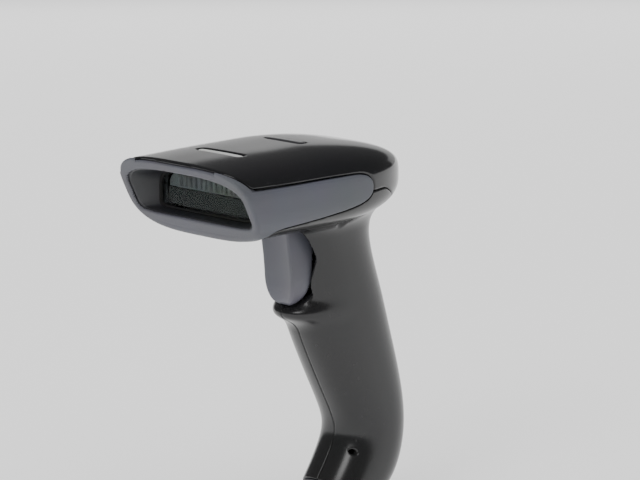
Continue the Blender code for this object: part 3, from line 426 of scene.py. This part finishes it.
def bumper_form(x, y, z):
    head = head_shape(x, y, z)
    ahead = np.maximum(head, -behind_nose(y, z, BUMPER_FRONT))
    under = np.maximum(-(head + COVER_LIP + SEAM_GAP), behind_nose(y, z, sweep(x) - SHADOW_GAP))
    frame_part = trimmed(ahead, -under, 0.5)
    band = trimmed(head - BUMPER_PROUD, BAND_SHAPE(y, z), 0.9)
    band = np.maximum(band, -(head + BUMPER_SKIN))
    form = trimmed(np.minimum(frame_part, band), behind_nose(y, z, bow(x)), 1.3)
    form = trimmed(form, -window_hole(x, y, z, flare=0.7), 0.7)
    pocket = np.maximum(window_hole(x, y, z, wider=WINDOW_RIM + 0.2), behind_nose(y, z, POCKET_DEPTH))
    form = np.maximum(form, -pocket)
    # Only the band goes on behind the front frame.
    return np.maximum(form, -np.maximum(head + BUMPER_SKIN, behind_nose(y, z, BUMPER_FRONT)))


def funnel_form(x, y, z):
    """The dark funnel between the nose and the window."""
    wall = np.maximum(window_hole(x, y, z, wider=WINDOW_RIM), -window_hole(x, y, z))
    return np.maximum(np.maximum(wall, behind_nose(y, z, POCKET_DEPTH + 0.2)), y - WINDOW_Y - 1.4)


def seal_form(x, y, z):
    """The foam ring that the window sits against."""
    ring = np.maximum(window_hole(x, y, z, wider=-0.1), -window_hole(x, y, z, wider=-1.2))
    return np.maximum(ring, np.abs(y - WINDOW_Y + 2.2) - 0.6)


def pane_form(x, y, z):
    return trimmed(window_hole(x, y, z, wider=-0.2), np.abs(y - WINDOW_Y + 0.8) - 0.7, 0.3)


def diffuser_form(x, y, z):
    """The plate over the lamps: clear and ribbed in its upper half."""
    plate = np.maximum(window_hole(x, y, z, wider=-1.0), np.abs(y - WINDOW_Y - 1.2) - 0.6)
    return trimmed(plate, DIFFUSER_FOOT - z, 0.3)


# A near-black panel that stands for no part of the scanner: it paints the shade in the lower half of the
# window.
def painted_shade_form(x, y, z):
    plate = np.maximum(window_hole(x, y, z, wider=-1.0), np.abs(y - WINDOW_Y - 1.0) - 0.6)
    return trimmed(plate, z - DIFFUSER_FOOT + 0.3, 0.3)


def base_passage(x, y, z, half_width, half_height):
    along = (y - BASE_CENTRE[0]) * -BASE_NORMAL[1] + (z - BASE_CENTRE[1]) * BASE_NORMAL[0]
    return np.maximum(np.abs(x) - half_width, np.abs(along) - half_height)


def boot_form(x, y, z):
    form = trimmed(outside(x, y, z) + 0.15, -above_boot(y, z) + SEAM_GAP / 2, 0.9)
    form = trimmed(form, -base_passage(x, y, z, 6.5, 4.3), 0.8)
    up = (y - BASE_CENTRE[0]) * -BASE_NORMAL[0] + (z - BASE_CENTRE[1]) * -BASE_NORMAL[1]
    recess = np.maximum(base_passage(x, y, z, 8.1, 6.0), 6.3 - up)
    return np.maximum(form, -recess)


def trigger_form(x, y, z):
    across = np.abs(x)
    saddle = 1.5 * (1 - np.clip(across / 8.0, 0, 1.15) ** 2)
    side = TRIGGER_SHAPE(y - np.maximum(saddle, -0.4), z)
    tongue = np.sqrt(np.clip(1 - (np.clip(-38 - z, 0, 12.6) / 12.7) ** 2, 0, 1))
    half_width = (8.5 + 0.17 * np.clip(y - 56, 0, 10)) * (0.22 + 0.78 * tongue)
    form = trimmed(side, (across - half_width) * 0.9, 1.6)
    behind = TRIGGER_SHAPE(y - 2.2 - saddle, z - 2)
    inside = np.maximum(behind, across - half_width + 2)
    form = np.maximum(form, -np.maximum(inside, z + 16))
    barrel = np.maximum(rod(y, z, TRIGGER_PIVOT, 3.6), across - 8.8)
    rib = np.maximum(np.maximum(across - 1.5, np.abs(z + 36.6) - 2.2), np.maximum(59.2 - y, y - 73.1))
    form = np.minimum(np.minimum(form, barrel), rib)
    return np.maximum(form, -rod(y, z, TRIGGER_PIVOT, 1.8))


def lens_bar(slot_size, top):
    def form(x, y, z):
        bar = trimmed(slot(x, y, slot_size, -0.3), z - top + x * x / BAR_CROWN, 1.2)
        return np.maximum(bar, top - 5.5 - z)
    return form


# ---- Meshes ----


def in_place(points):
    return (points - GRIP_CENTRE) * MM


def crossings(values):
    """One point in each cell that the surface passes through, and the faces that join them."""
    inside = values < 0
    corners = np.zeros([n - 1 for n in values.shape], np.int8)
    for i in (0, 1):
        for j in (0, 1):
            for k in (0, 1):
                corners += inside[i:i + corners.shape[0], j:j + corners.shape[1], k:k + corners.shape[2]]
    active = (corners > 0) & (corners < 8)
    cells = np.argwhere(active)
    index = np.full(active.shape, -1)
    index[active] = np.arange(len(cells))
    total, count = np.zeros((len(cells), 3)), np.zeros((len(cells), 1))
    for axis in range(3):
        step = np.eye(3, dtype=int)[axis]
        others = [np.eye(3, dtype=int)[(axis + turn) % 3] for turn in (1, 2)]
        for i in (0, 1):
            for j in (0, 1):
                start = cells + i * others[0] + j * others[1]
                low, high = values[tuple(start.T)], values[tuple((start + step).T)]
                crossed = ((low < 0) != (high < 0))[:, None]
                share = np.where(crossed[:, 0], low / np.where(low == high, 1, low - high), 0)[:, None]
                total += (start + share * step) * crossed
                count += crossed
    faces = []
    for axis in range(3):
        low = np.take(inside, range(values.shape[axis] - 1), axis)
        high = np.take(inside, range(1, values.shape[axis]), axis)
        edges = np.argwhere(low != high)
        first, second = [np.eye(3, dtype=int)[(axis + turn) % 3] for turn in (1, 2)]
        around = np.stack([index[tuple(cell.T)] for cell in
                           (edges, edges - first, edges - first - second, edges - second)], axis=1)
        leaving = inside[tuple(edges.T)]
        faces.append(np.where(leaving[:, None], around, around[:, ::-1]))
    return total / count, np.vstack(faces)


def onto_surface(form, points, reach):
    """Moves points to where the distance is nothing."""
    small = 0.03
    for _ in range(3):
        x, y, z = points.T
        slope = np.stack([form(x + small, y, z) - form(x - small, y, z),
                          form(x, y + small, z) - form(x, y - small, z),
                          form(x, y, z + small) - form(x, y, z - small)], axis=1) / (2 * small)
        steep = np.maximum((slope ** 2).sum(1), 0.05)
        move = np.clip(form(x, y, z) / steep, -reach, reach)
        points = points - slope * move[:, None]
    return points


def evened(points, faces):
    """Each point moved to the middle of its neighbours."""
    total, count = np.zeros_like(points), np.zeros(len(points))
    for side in range(4):
        start, end = faces[:, side], faces[:, (side + 1) % 4]
        for axis in range(3):
            total[:, axis] += np.bincount(start, points[end, axis], len(points))
        count += np.bincount(start, minlength=len(points))
    return total / np.maximum(count, 1)[:, None]


def moulded(name, form, low, high, step, material, bodies="housing"):
    """A closed mesh of a form, ready to ride on its body."""
    step *= 1
    grid = [np.arange(bottom - step, top + 2 * step, step) for bottom, top in zip(low, high)]
    values = form(grid[0][:, None, None], grid[1][None, :, None], grid[2][None, None, :])
    points, faces = crossings(np.ascontiguousarray(values))
    points = points * step + np.array([line[0] for line in grid])
    for _ in range(2):
        points = onto_surface(form, points, step)
        points = points * 0.5 + evened(points, faces) * 0.5
    points = onto_surface(form, points, step)
    mesh = bpy.data.meshes.new(name)
    mesh.from_pydata(in_place(points).tolist(), [], faces.tolist())
    mesh.validate()
    mesh.polygons.foreach_set("use_smooth", [True] * len(mesh.polygons))
    mesh.materials.append(material)
    piece = bpy.data.objects.new(name, mesh)
    bpy.context.scene.collection.objects.link(piece)
    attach(piece, bodies)
    return piece


# ---- Finishes ----


def group_node(tree, kind, place=(0, 0), **values):
    node = tree.nodes.new(kind)
    node.location = place
    for key, value in values.items():
        setattr(node, key, value)
    return node


def moulded_surface():
    """Fine texture, faint flow marks and hairline rubs that every moulded piece shares."""
    group = bpy.data.node_groups.new("moulded_surface", "ShaderNodeTree")
    sockets = group.interface
    for name, kind, value in (
        ("Colour", "Color", (0.1, 0.1, 0.1, 1)), ("Rub Colour", "Color", (0.3, 0.3, 0.3, 1)),
        ("Roughness", "Float", 0.3), ("Roughness Spread", "Float", 0.05), ("Grain Size", "Float", 3000.0),
        ("Grain Height", "Float", 0.3), ("Rub Amount", "Float", 0.2), ("Mottle", "Float", 0.1),
    ):
        sockets.new_socket(name=name, in_out="INPUT", socket_type="NodeSocket" + kind).default_value = value
    for name, kind in (("Colour", "Color"), ("Roughness", "Float"), ("Height", "Float")):
        sockets.new_socket(name=name, in_out="OUTPUT", socket_type="NodeSocket" + kind)
    given = group_node(group, "NodeGroupInput", (-900, 0))
    made = group_node(group, "NodeGroupOutput", (700, 0))
    place = group_node(group, "ShaderNodeTexCoord", (-900, -400))
    link = group.links.new

    def noise(scale, detail, where):
        node = group_node(group, "ShaderNodeTexNoise", where)
        node.inputs["Detail"].default_value = detail
        if scale is None:
            link(given.outputs["Grain Size"], node.inputs["Scale"])
        else:
            node.inputs["Scale"].default_value = scale
        link(place.outputs["Object"], node.inputs["Vector"])
        return node

    def maths(operation, first, second, where, clamp=False):
        node = group_node(group, "ShaderNodeMath", where, operation=operation, use_clamp=clamp)
        for socket, value in zip(node.inputs, (first, second)):
            if hasattr(value, "links"):
                link(value, socket)
            else:
                socket.default_value = value
        return node.outputs["Value"]

    grain = noise(None, 2.0, (-600, -500))
    cloud = noise(38.0, 4.0, (-600, -200))
    patch = noise(9.0, 2.0, (-600, 100))
    # Hairline rubs: stretched noise, cut to its brightest lines.
    stretch = group_node(group, "ShaderNodeMapping", (-750, 400))
    stretch.inputs["Rotation"].default_value = (0.3, 0.5, 0.4)
    stretch.inputs["Scale"].default_value = (60.0, 900.0, 420.0)
    link(place.outputs["Object"], stretch.inputs["Vector"])
    lines = group_node(group, "ShaderNodeTexNoise", (-550, 400))
    lines.inputs["Scale"].default_value = 1.0
    link(stretch.outputs["Vector"], lines.inputs["Vector"])
    peaks = maths("SUBTRACT", lines.outputs["Fac"], 0.66, (-380, 400), True)
    bright = maths("MULTIPLY", peaks, 7.0, (-230, 400), True)
    share = maths("MULTIPLY", patch.outputs["Fac"], given.outputs["Rub Amount"], (-230, 250))
    rubbed = maths("MULTIPLY", bright, share, (-60, 350), True)
    mottled = group_node(group, "ShaderNodeMix", (-60, 100), data_type="RGBA", blend_type="MULTIPLY")
    link(given.outputs["Mottle"], mottled.inputs["Factor"])
    link(given.outputs["Colour"], mottled.inputs["A"])
    link(cloud.outputs["Color"], mottled.inputs["B"])
    coloured = group_node(group, "ShaderNodeMix", (200, 100), data_type="RGBA")
    link(rubbed, coloured.inputs["Factor"])
    link(mottled.outputs["Result"], coloured.inputs["A"])
    link(given.outputs["Rub Colour"], coloured.inputs["B"])
    spread = maths("MULTIPLY", maths("SUBTRACT", cloud.outputs["Fac"], 0.5, (-230, -150)),
                   given.outputs["Roughness Spread"], (-60, -150))
    rough = maths("ADD", maths("ADD", given.outputs["Roughness"], spread, (120, -150)),
                  maths("MULTIPLY", rubbed, 0.25, (120, -300)), (300, -150), True)
    height = maths("ADD", maths("MULTIPLY", grain.outputs["Fac"], given.outputs["Grain Height"], (120, -500)),
                   maths("MULTIPLY", rubbed, -0.4, (120, -650)), (300, -500))
    link(coloured.outputs["Result"], made.inputs["Colour"])
    link(rough, made.inputs["Roughness"])
    link(height, made.inputs["Height"])
    return group


SURFACE = moulded_surface()


def finish(name, colour, roughness, spread, grain, grain_height, bump, rub, mottle=0.15, **fixed):
    """A material whose colour, roughness and height come from the shared surface."""
    material = bpy.data.materials.new(name)
    material.use_nodes = True
    tree = material.node_tree
    shader = tree.nodes["Principled BSDF"]
    surface = tree.nodes.new("ShaderNodeGroup")
    surface.node_tree = SURFACE
    surface.location = (-500, 0)
    values = {
        "Colour": (*colour, 1), "Rub Colour": (*[0.4 * part + 0.12 for part in colour], 1),
        "Roughness": roughness, "Roughness Spread": spread, "Grain Size": grain, "Grain Height": grain_height,
        "Rub Amount": rub, "Mottle": mottle,
    }
    for key, value in values.items():
        surface.inputs[key].default_value = value
    relief = tree.nodes.new("ShaderNodeBump")
    relief.location = (-250, -250)
    relief.inputs["Strength"].default_value = bump
    relief.inputs["Distance"].default_value = 0.0004
    tree.links.new(surface.outputs["Colour"], shader.inputs["Base Color"])
    tree.links.new(surface.outputs["Roughness"], shader.inputs["Roughness"])
    tree.links.new(surface.outputs["Height"], relief.inputs["Height"])
    tree.links.new(relief.outputs["Normal"], shader.inputs["Normal"])
    for key, value in fixed.items():
        shader.inputs[key.replace("_", " ")].default_value = value
    return material


# name: (colour, roughness, its spread, grain size, grain height, bump, rubs), then mottle and fixed values
FINISH_VALUES = {
    "gloss_black": (((0.008, 0.008, 0.009), 0.13, 0.05, 2200, 0.12, 0.015, 0.25), {}),
    "satin_black": (((0.011, 0.011, 0.0115), 0.24, 0.06, 2600, 0.3, 0.03, 0.2), {}),
    "slate_rubber": (((0.075, 0.077, 0.094), 0.5, 0.1, 4200, 1.0, 0.22, 0.25), {"mottle": 0.25}),
    # The boot's rubber: the nose's slate rubber painted darker, for the shade at the foot of the grip.
    "slate_rubber_painted_shade": (((0.05, 0.052, 0.061), 0.5, 0.1, 4200, 1.0, 0.22, 0.25), {"mottle": 0.25}),
    "slate_trigger": (((0.095, 0.097, 0.116), 0.42, 0.08, 3600, 0.8, 0.15, 0.25), {"mottle": 0.2}),
    "dark_plastic": (((0.02, 0.02, 0.022), 0.45, 0.1, 3000, 0.8, 0.15, 0.1), {}),
    "funnel_slate": (((0.022, 0.023, 0.027), 0.45, 0.1, 3200, 0.8, 0.12, 0.1), {"mottle": 0.25}),
    # Painted shade: the near-black of the panel that darkens the window's lower half.
    "painted_shade_green": (((0.016, 0.022, 0.021), 0.7, 0.1, 2600, 0.5, 0.04, 0.1),
                    {"mottle": 0.3, "Specular_IOR_Level": 0.15}),
    "frosted": (((0.2, 0.21, 0.215), 0.45, 0.1, 600, 0.5, 0.05, 0.1), {"mottle": 0.7}),
    "foam": (((0.012, 0.012, 0.012), 0.9, 0.1, 5200, 1.0, 0.8, 0.0), {"mottle": 0.6}),
    "window": (((0.8, 0.84, 0.84), 0.02, 0.01, 900, 0.02, 0.0, 0.0),
               {"mottle": 0.02, "Transmission_Weight": 1.0, "IOR": 1.14}),
    "milky_lens": (((0.4, 0.41, 0.4), 0.3, 0.04, 1500, 0.1, 0.01, 0.1), {"mottle": 0.1}),
    "smoked_lens": (((0.03, 0.03, 0.032), 0.1, 0.04, 1500, 0.1, 0.01, 0.1), {"mottle": 0.1}),
    "circuit_board": (((0.006, 0.06, 0.02), 0.4, 0.1, 1400, 0.6, 0.2, 0.1), {"mottle": 0.4}),
    "package": (((0.016, 0.016, 0.017), 0.5, 0.1, 4200, 0.9, 0.2, 0.1), {"mottle": 0.3}),
    "lamp": (((0.85, 0.78, 0.42), 0.3, 0.05, 1500, 0.2, 0.05, 0.0), {"mottle": 0.1}),
    "optic": (((0.02, 0.012, 0.04), 0.05, 0.02, 1500, 0.1, 0.01, 0.05), {"mottle": 0.1}),
    "zinc": (((0.56, 0.56, 0.57), 0.32, 0.12, 2600, 0.7, 0.12, 0.3), {"mottle": 0.2, "Metallic": 1.0}),
    "gold": (((0.9, 0.66, 0.28), 0.25, 0.08, 2600, 0.4, 0.06, 0.2), {"mottle": 0.1, "Metallic": 1.0}),
    "film_cable": (((0.6, 0.62, 0.64), 0.35, 0.08, 1800, 0.4, 0.08, 0.1), {"mottle": 0.1}),
}
FINISHES = {name: finish(name, *values, **more) for name, (values, more) in FINISH_VALUES.items()}
NODE_FINISHES = {
    "trigger_pin": "zinc", "switch_body": "package", "switch_button": "dark_plastic",
    "handle_board": "circuit_board", "main_board": "circuit_board", "sensor_board": "circuit_board",
    "illumination_board": "circuit_board", "decoder_chip": "package", "image_sensor": "optic",
    "engine_chassis": "dark_plastic", "engine_lens": "optic", "beeper": "package",
    "ribbon_cable": "film_cable", "interface_jack": "dark_plastic", "jack_contacts": "gold",
}


def dress_nodes():
    """Gives every node that stays its finish."""
    for name, node in NODES.items():
        chosen = "lamp" if name.startswith("illumination_led") else NODE_FINISHES.get(name)
        if chosen:
            node.data.materials.clear()
            node.data.materials.append(FINISHES[chosen])


# ---- Pieces ----


def geometry_tree(name, sizes):
    """A geometry tree with named inputs: the tree, its input node and the call that links two sockets."""
    tree = bpy.data.node_groups.new(name, "GeometryNodeTree")
    tree.interface.new_socket(name="Places", in_out="INPUT", socket_type="NodeSocketGeometry")
    for label, kind in [*sizes, ("Finish", "Material")]:
        tree.interface.new_socket(name=label, in_out="INPUT", socket_type="NodeSocket" + kind)
    tree.interface.new_socket(name="Piece", in_out="OUTPUT", socket_type="NodeSocketGeometry")
    return tree, group_node(tree, "NodeGroupInput", (-1000, 0)), tree.links.new


def end_tree(tree, given, shape, smooth=True):
    """Makes the instances real, shades them and gives them their finish."""
    real = group_node(tree, "GeometryNodeRealizeInstances", (500, 0))
    shade = group_node(tree, "GeometryNodeSetShadeSmooth", (650, 0))
    shade.inputs["Shade Smooth"].default_value = smooth
    finished = group_node(tree, "GeometryNodeSetMaterial", (800, 0))
    tree.links.new(shape, real.inputs["Geometry"])
    tree.links.new(real.outputs["Geometry"], shade.inputs["Geometry"])
    tree.links.new(shade.outputs["Geometry"], finished.inputs["Geometry"])
    tree.links.new(given.outputs["Finish"], finished.inputs["Material"])
    made = group_node(tree, "NodeGroupOutput", (1000, 0))
    tree.links.new(finished.outputs["Geometry"], made.inputs["Piece"])


def rib_tree():
    """Round ribs side by side."""
    tree, given, link = geometry_tree("ribs_in_a_row", [
        ("Start", "Vector"), ("Pitch", "Vector"), ("Count", "Int"),
        ("Rib Radius", "Float"), ("Rib Length", "Float"),
    ])
    row = group_node(tree, "GeometryNodeMeshLine", (-600, 100))
    rib = group_node(tree, "GeometryNodeMeshCylinder", (-600, -200))
    rib.inputs["Vertices"].default_value = 14
    placed = group_node(tree, "GeometryNodeInstanceOnPoints", (0, 0))
    link(given.outputs["Count"], row.inputs["Count"])
    link(given.outputs["Start"], row.inputs["Start Location"])
    link(given.outputs["Pitch"], row.inputs["Offset"])
    link(given.outputs["Rib Radius"], rib.inputs["Radius"])
    link(given.outputs["Rib Length"], rib.inputs["Depth"])
    link(row.outputs["Mesh"], placed.inputs["Points"])
    link(rib.outputs["Mesh"], placed.inputs["Instance"])
    end_tree(tree, given, placed.outputs["Instances"])
    return tree


def screw_tree():
    """A cross-recess screw at each place, its head towards the place's axis."""
    tree, given, link = geometry_tree("cross_screws", [
        ("Head Radius", "Float"), ("Head Height", "Float"), ("Shank Radius", "Float"),
        ("Shank Length", "Float"), ("Recess", "Vector"), ("Recess Across", "Vector"),
    ])

    def bar(radius, length, sides, low, where):
        cylinder = group_node(tree, "GeometryNodeMeshCylinder", where)
        cylinder.inputs["Vertices"].default_value = sides
        link(given.outputs[radius], cylinder.inputs["Radius"])
        link(given.outputs[length], cylinder.inputs["Depth"])
        moved = group_node(tree, "GeometryNodeTransform", (where[0] + 200, where[1]))
        offset = group_node(tree, "ShaderNodeCombineXYZ", (where[0], where[1] - 200))
        share = group_node(tree, "ShaderNodeMath", (where[0] - 200, where[1] - 200), operation="MULTIPLY")
        link(given.outputs[length], share.inputs[0])
        share.inputs[1].default_value = low
        link(share.outputs["Value"], offset.inputs["Z"])
        link(cylinder.outputs["Mesh"], moved.inputs["Geometry"])
        link(offset.outputs["Vector"], moved.inputs["Translation"])
        return moved.outputs["Geometry"]

    head = bar("Head Radius", "Head Height", 36, -0.5, (-700, 300))
    shank = bar("Shank Radius", "Shank Length", 20, -0.55, (-700, -200))
    cross = group_node(tree, "GeometryNodeMeshBoolean", (-100, 300), operation="DIFFERENCE")
    link(head, cross.inputs["Mesh 1"])
    for size, high in (("Recess", 600), ("Recess Across", 800)):
        slot_box = group_node(tree, "GeometryNodeMeshCube", (-400, high))
        link(given.outputs[size], slot_box.inputs["Size"])
        link(slot_box.outputs["Mesh"], cross.inputs["Mesh 2"])
    whole = group_node(tree, "GeometryNodeJoinGeometry", (100, 100))
    link(cross.outputs["Mesh"], whole.inputs["Geometry"])
    link(shank, whole.inputs["Geometry"])
    axis = group_node(tree, "GeometryNodeInputNamedAttribute", (-100, -300), data_type="FLOAT_VECTOR")
    axis.inputs["Name"].default_value = "axis"
    turned = group_node(tree, "FunctionNodeAlignRotationToVector", (100, -200), axis="Z")
    placed = group_node(tree, "GeometryNodeInstanceOnPoints", (300, 0))
    link(axis.outputs["Attribute"], turned.inputs["Vector"])
    link(turned.outputs["Rotation"], placed.inputs["Rotation"])
    link(given.outputs["Places"], placed.inputs["Points"])
    link(whole.outputs["Geometry"], placed.inputs["Instance"])
    end_tree(tree, given, placed.outputs["Instances"], smooth=False)
    return tree


def coil_tree():
    """A coil spring that lies along y."""
    tree, given, link = geometry_tree("coil_spring", [
        ("Start", "Vector"), ("Turns", "Float"), ("Coil Radius", "Float"),
        ("Wire Radius", "Float"), ("Length", "Float"),
    ])
    coil = group_node(tree, "GeometryNodeCurveSpiral", (-700, 100))
    coil.inputs["Resolution"].default_value = 24
    wire = group_node(tree, "GeometryNodeCurvePrimitiveCircle", (-700, -200))
    wire.inputs["Resolution"].default_value = 10
    tube = group_node(tree, "GeometryNodeCurveToMesh", (-400, 0))
    tube.inputs["Fill Caps"].default_value = True
    turned = group_node(tree, "GeometryNodeTransform", (-100, 0))
    turned.inputs["Rotation"].default_value = (-math.pi / 2, 0, 0)
    link(given.outputs["Turns"], coil.inputs["Rotations"])
    link(given.outputs["Coil Radius"], coil.inputs["Start Radius"])
    link(given.outputs["Coil Radius"], coil.inputs["End Radius"])
    link(given.outputs["Length"], coil.inputs["Height"])
    link(given.outputs["Wire Radius"], wire.inputs["Radius"])
    link(coil.outputs["Curve"], tube.inputs["Curve"])
    link(wire.outputs["Curve"], tube.inputs["Profile Curve"])
    link(tube.outputs["Mesh"], turned.inputs["Geometry"])
    link(given.outputs["Start"], turned.inputs["Translation"])
    end_tree(tree, given, turned.outputs["Geometry"])
    return tree


def grown(name, tree, sizes, places=(), axes=(), body="housing"):
    """The plain mesh that a tree makes, riding on its body."""
    seed = bpy.data.meshes.new(name + "_places")
    seed.from_pydata([tuple(place) for place in places], [], [])
    if len(axes):
        attribute = seed.attributes.new("axis", "FLOAT_VECTOR", "POINT")
        attribute.data.foreach_set("vector", np.array(axes, float).ravel())
    maker = bpy.data.objects.new(name + "_maker", seed)
    bpy.context.scene.collection.objects.link(maker)
    modifier = maker.modifiers.new("pieces", "NODES")
    modifier.node_group = tree
    for item in tree.interface.items_tree:
        if item.in_out == "INPUT" and item.name in sizes:
            modifier[item.identifier] = sizes[item.name]
    graph = bpy.context.evaluated_depsgraph_get()
    graph.update()
    mesh = bpy.data.meshes.new_from_object(maker.evaluated_get(graph), depsgraph=graph)
    mesh.name = name
    maker.modifiers.remove(modifier)
    bpy.data.objects.remove(maker)
    piece = bpy.data.objects.new(name, mesh)
    bpy.context.scene.collection.objects.link(piece)
    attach(piece, body)
    return piece


def make_ribs():
    size, length = DIFFUSER_RIB
    start = (-RIB_PITCH * (RIB_COUNT - 1) / 2, WINDOW_Y + 0.5, 6.4)
    grown("diffuser_ribs", rib_tree(), {
        "Start": in_place(np.array(start)).tolist(), "Pitch": (RIB_PITCH * MM, 0.0, 0.0), "Count": RIB_COUNT,
        "Rib Radius": size * MM, "Rib Length": length * MM, "Finish": FINISHES["frosted"]})


def make_screws():
    """Four screws up into the head and three across the grip."""
    places = [(across, along, HEAD_SCREW_Z) for across, along in HEAD_SCREWS]
    places += [(GRIP_SCREW_X, *place) for place in GRIP_SCREWS]
    axes = [(0, 0, -1)] * len(HEAD_SCREWS) + [(-1, 0, 0)] * len(GRIP_SCREWS)
    long, wide, deep = [size * MM for size in SCREW_RECESS]
    screws = grown("cross_screws", screw_tree(), {
        "Head Radius": 2.6 * MM, "Head Height": 2.0 * MM, "Shank Radius": 1.4 * MM, "Shank Length": 17.4 * MM,
        "Recess": (long, wide, deep), "Recess Across": (wide, long, deep), "Finish": FINISHES["zinc"],
    }, in_place(np.array(places)).tolist(), axes)
    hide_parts(*[name for name in NODES if "screw" in name])


def make_spring():
    spring = grown("return_spring", coil_tree(), {
        "Start": in_place(np.array(SPRING_START)).tolist(), "Turns": 9.0, "Coil Radius": 2.2 * MM,
        "Wire Radius": 0.3 * MM, "Length": 20.2 * MM, "Finish": FINISHES["zinc"]})
    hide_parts("trigger_spring")


# name, form, low and high corners of its box, step, finish, and the CAD node that it stands for
MOULDINGS = [
    ("cover_shell", cover_form, (-39, -1, -12), (39, 116, 20), 0.55, "gloss_black", "top_cover"),
    ("right_half", half_form(1), (-1, 8, -140), (39, 124, 2), 0.6, "satin_black", "right_housing"),
    ("left_half", half_form(-1), (-39, 8, -140), (1, 124, 2), 0.6, "satin_black", "left_housing"),
    ("nose_moulding", bumper_form, (-39.5, -1, -16), (39.5, 85, 18), 0.5, "slate_rubber", "nose_bumper"),
    # The boot takes the slate rubber painted darker, for the shade at the foot of the grip.
    ("grip_boot", boot_form, (-18, 70, -148), (18, 122, -119), 0.5, "slate_rubber_painted_shade", "base_bumper"),
    ("pulled_trigger", trigger_form, (-11, 48, -53), (11, 75, -4), 0.42, "slate_trigger", "trigger"),
    ("view_funnel", funnel_form, (-36, 3, -9), (36, 22, 15.5), 0.6, "funnel_slate", "window_frame"),
    ("window_seal", seal_form, (-30, 16, -8), (30, 20, 14), 0.5, "foam", "window_gasket"),
    ("window_pane", pane_form, (-30, 17, -8), (30, 21, 14), 0.5, "window", "scan_window"),
    ("lamp_diffuser", diffuser_form, (-27, 19, 1), (27, 23, 14), 0.5, "frosted", "illumination_lens"),
    ("status_bar", lens_bar(STATUS_SLOT, STATUS_BAR_TOP), (-14, 23, 12), (14, 29, 19), 0.4, "milky_lens",
     "status_lens"),
    ("rear_bar", lens_bar(REAR_SLOT, REAR_BAR_TOP), (-12, 59, 12), (12, 65, 19.6), 0.4, "smoked_lens",
     "rear_lens"),
    # A dark panel that stands for no CAD node, painting the shade in the window's lower half.
    ("painted_shade_panel", painted_shade_form, (-27, 19, -8), (27, 23, 3), 0.5, "painted_shade_green", None),
]


def make_mouldings():
    for name, form, low, high, step, chosen, node in MOULDINGS:
        body = "trigger" if node == "trigger" else "housing"
        piece = moulded(name, form, low, high, step, FINISHES[chosen], body)
        if node:
            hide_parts(node)


# ---- The studio ----


def aim(thing, target):
    thing.rotation_mode = "QUATERNION"
    thing.rotation_quaternion = (Vector(target) - thing.location).to_track_quat("-Z", "Y")


def make_camera():
    """A long lens, to the right of the nose and a little above it."""
    round_by, above_by, roll = [math.radians(angle) for angle in (46.97, 12.93, -0.94)]
    distance, target = 1.3258, Vector((0, -0.036, 0.034))
    data = bpy.data.cameras.new("camera")
    data.lens, data.sensor_width = 179.65, 36
    data.shift_x, data.shift_y = 0.0554, 0.0999
    data.clip_start, data.clip_end = 0.05, 20
    camera = bpy.data.objects.new("camera", data)
    bpy.context.scene.collection.objects.link(camera)
    level = Vector((math.sin(round_by), -math.cos(round_by), 0)) * math.cos(above_by)
    camera.location = target + distance * (level + Vector((0, 0, math.sin(above_by))))
    aim(camera, target)
    camera.rotation_quaternion = camera.rotation_quaternion @ Quaternion((0, 0, 1), roll)
    bpy.context.scene.camera = camera


def make_floor():
    mesh = bpy.data.meshes.new("floor")
    low, reach = CAD_BOX[0][2] - 0.0005, 6.0
    corners = [(-reach, -reach, low), (reach, -reach, low), (reach, reach, low), (-reach, reach, low)]
    mesh.from_pydata(corners, [], [(0, 1, 2, 3)])
    material = bpy.data.materials.new("pale_floor")
    material.use_nodes = True
    shader = material.node_tree.nodes["Principled BSDF"]
    shader.inputs["Base Color"].default_value = (0.9, 0.9, 0.9, 1)
    shader.inputs["Roughness"].default_value = 0.7
    mesh.materials.append(material)
    floor = bpy.data.objects.new("floor", mesh)
    bpy.context.scene.collection.objects.link(floor)


def make_light(name, place, target, size, power, glossy=True):
    data = bpy.data.lights.new(name, "AREA")
    data.shape = "RECTANGLE"
    data.size, data.size_y = size
    data.energy = power
    light = bpy.data.objects.new(name, data)
    bpy.context.scene.collection.objects.link(light)
    light.location = place
    light.visible_glossy = glossy
    light.visible_camera = False
    aim(light, target)


def make_wash():
    """Even light from above, which makes the floor white and leaves no shape in the gloss."""
    data = bpy.data.lights.new("wash", "SUN")
    data.energy, data.angle = 4.6, math.radians(150)
    light = bpy.data.objects.new("wash", data)
    bpy.context.scene.collection.objects.link(light)
    light.location = (0, 0, 2)
    light.visible_glossy = False


def make_world():
    world = bpy.data.worlds.new("studio")
    bpy.context.scene.world = world
    world.use_nodes = True
    tree = world.node_tree
    back = tree.nodes["Background"]
    back.inputs["Color"].default_value = (1, 1, 1, 1)
    back.inputs["Strength"].default_value = 0.12


def make_studio():
    make_camera()
    make_floor()
    make_world()
    make_wash()
    make_light("key", (0.3, -1.2, 0.9), (0, 0, 0), (0.5, 0.5), 5)
    make_light("backdrop", (-1.1, 1.2, 0.25), (0, 0, 0.08), (2.2, 0.5), 2.2)


make_studio()
dress_nodes()
make_mouldings()
make_ribs()
make_screws()
make_spring()
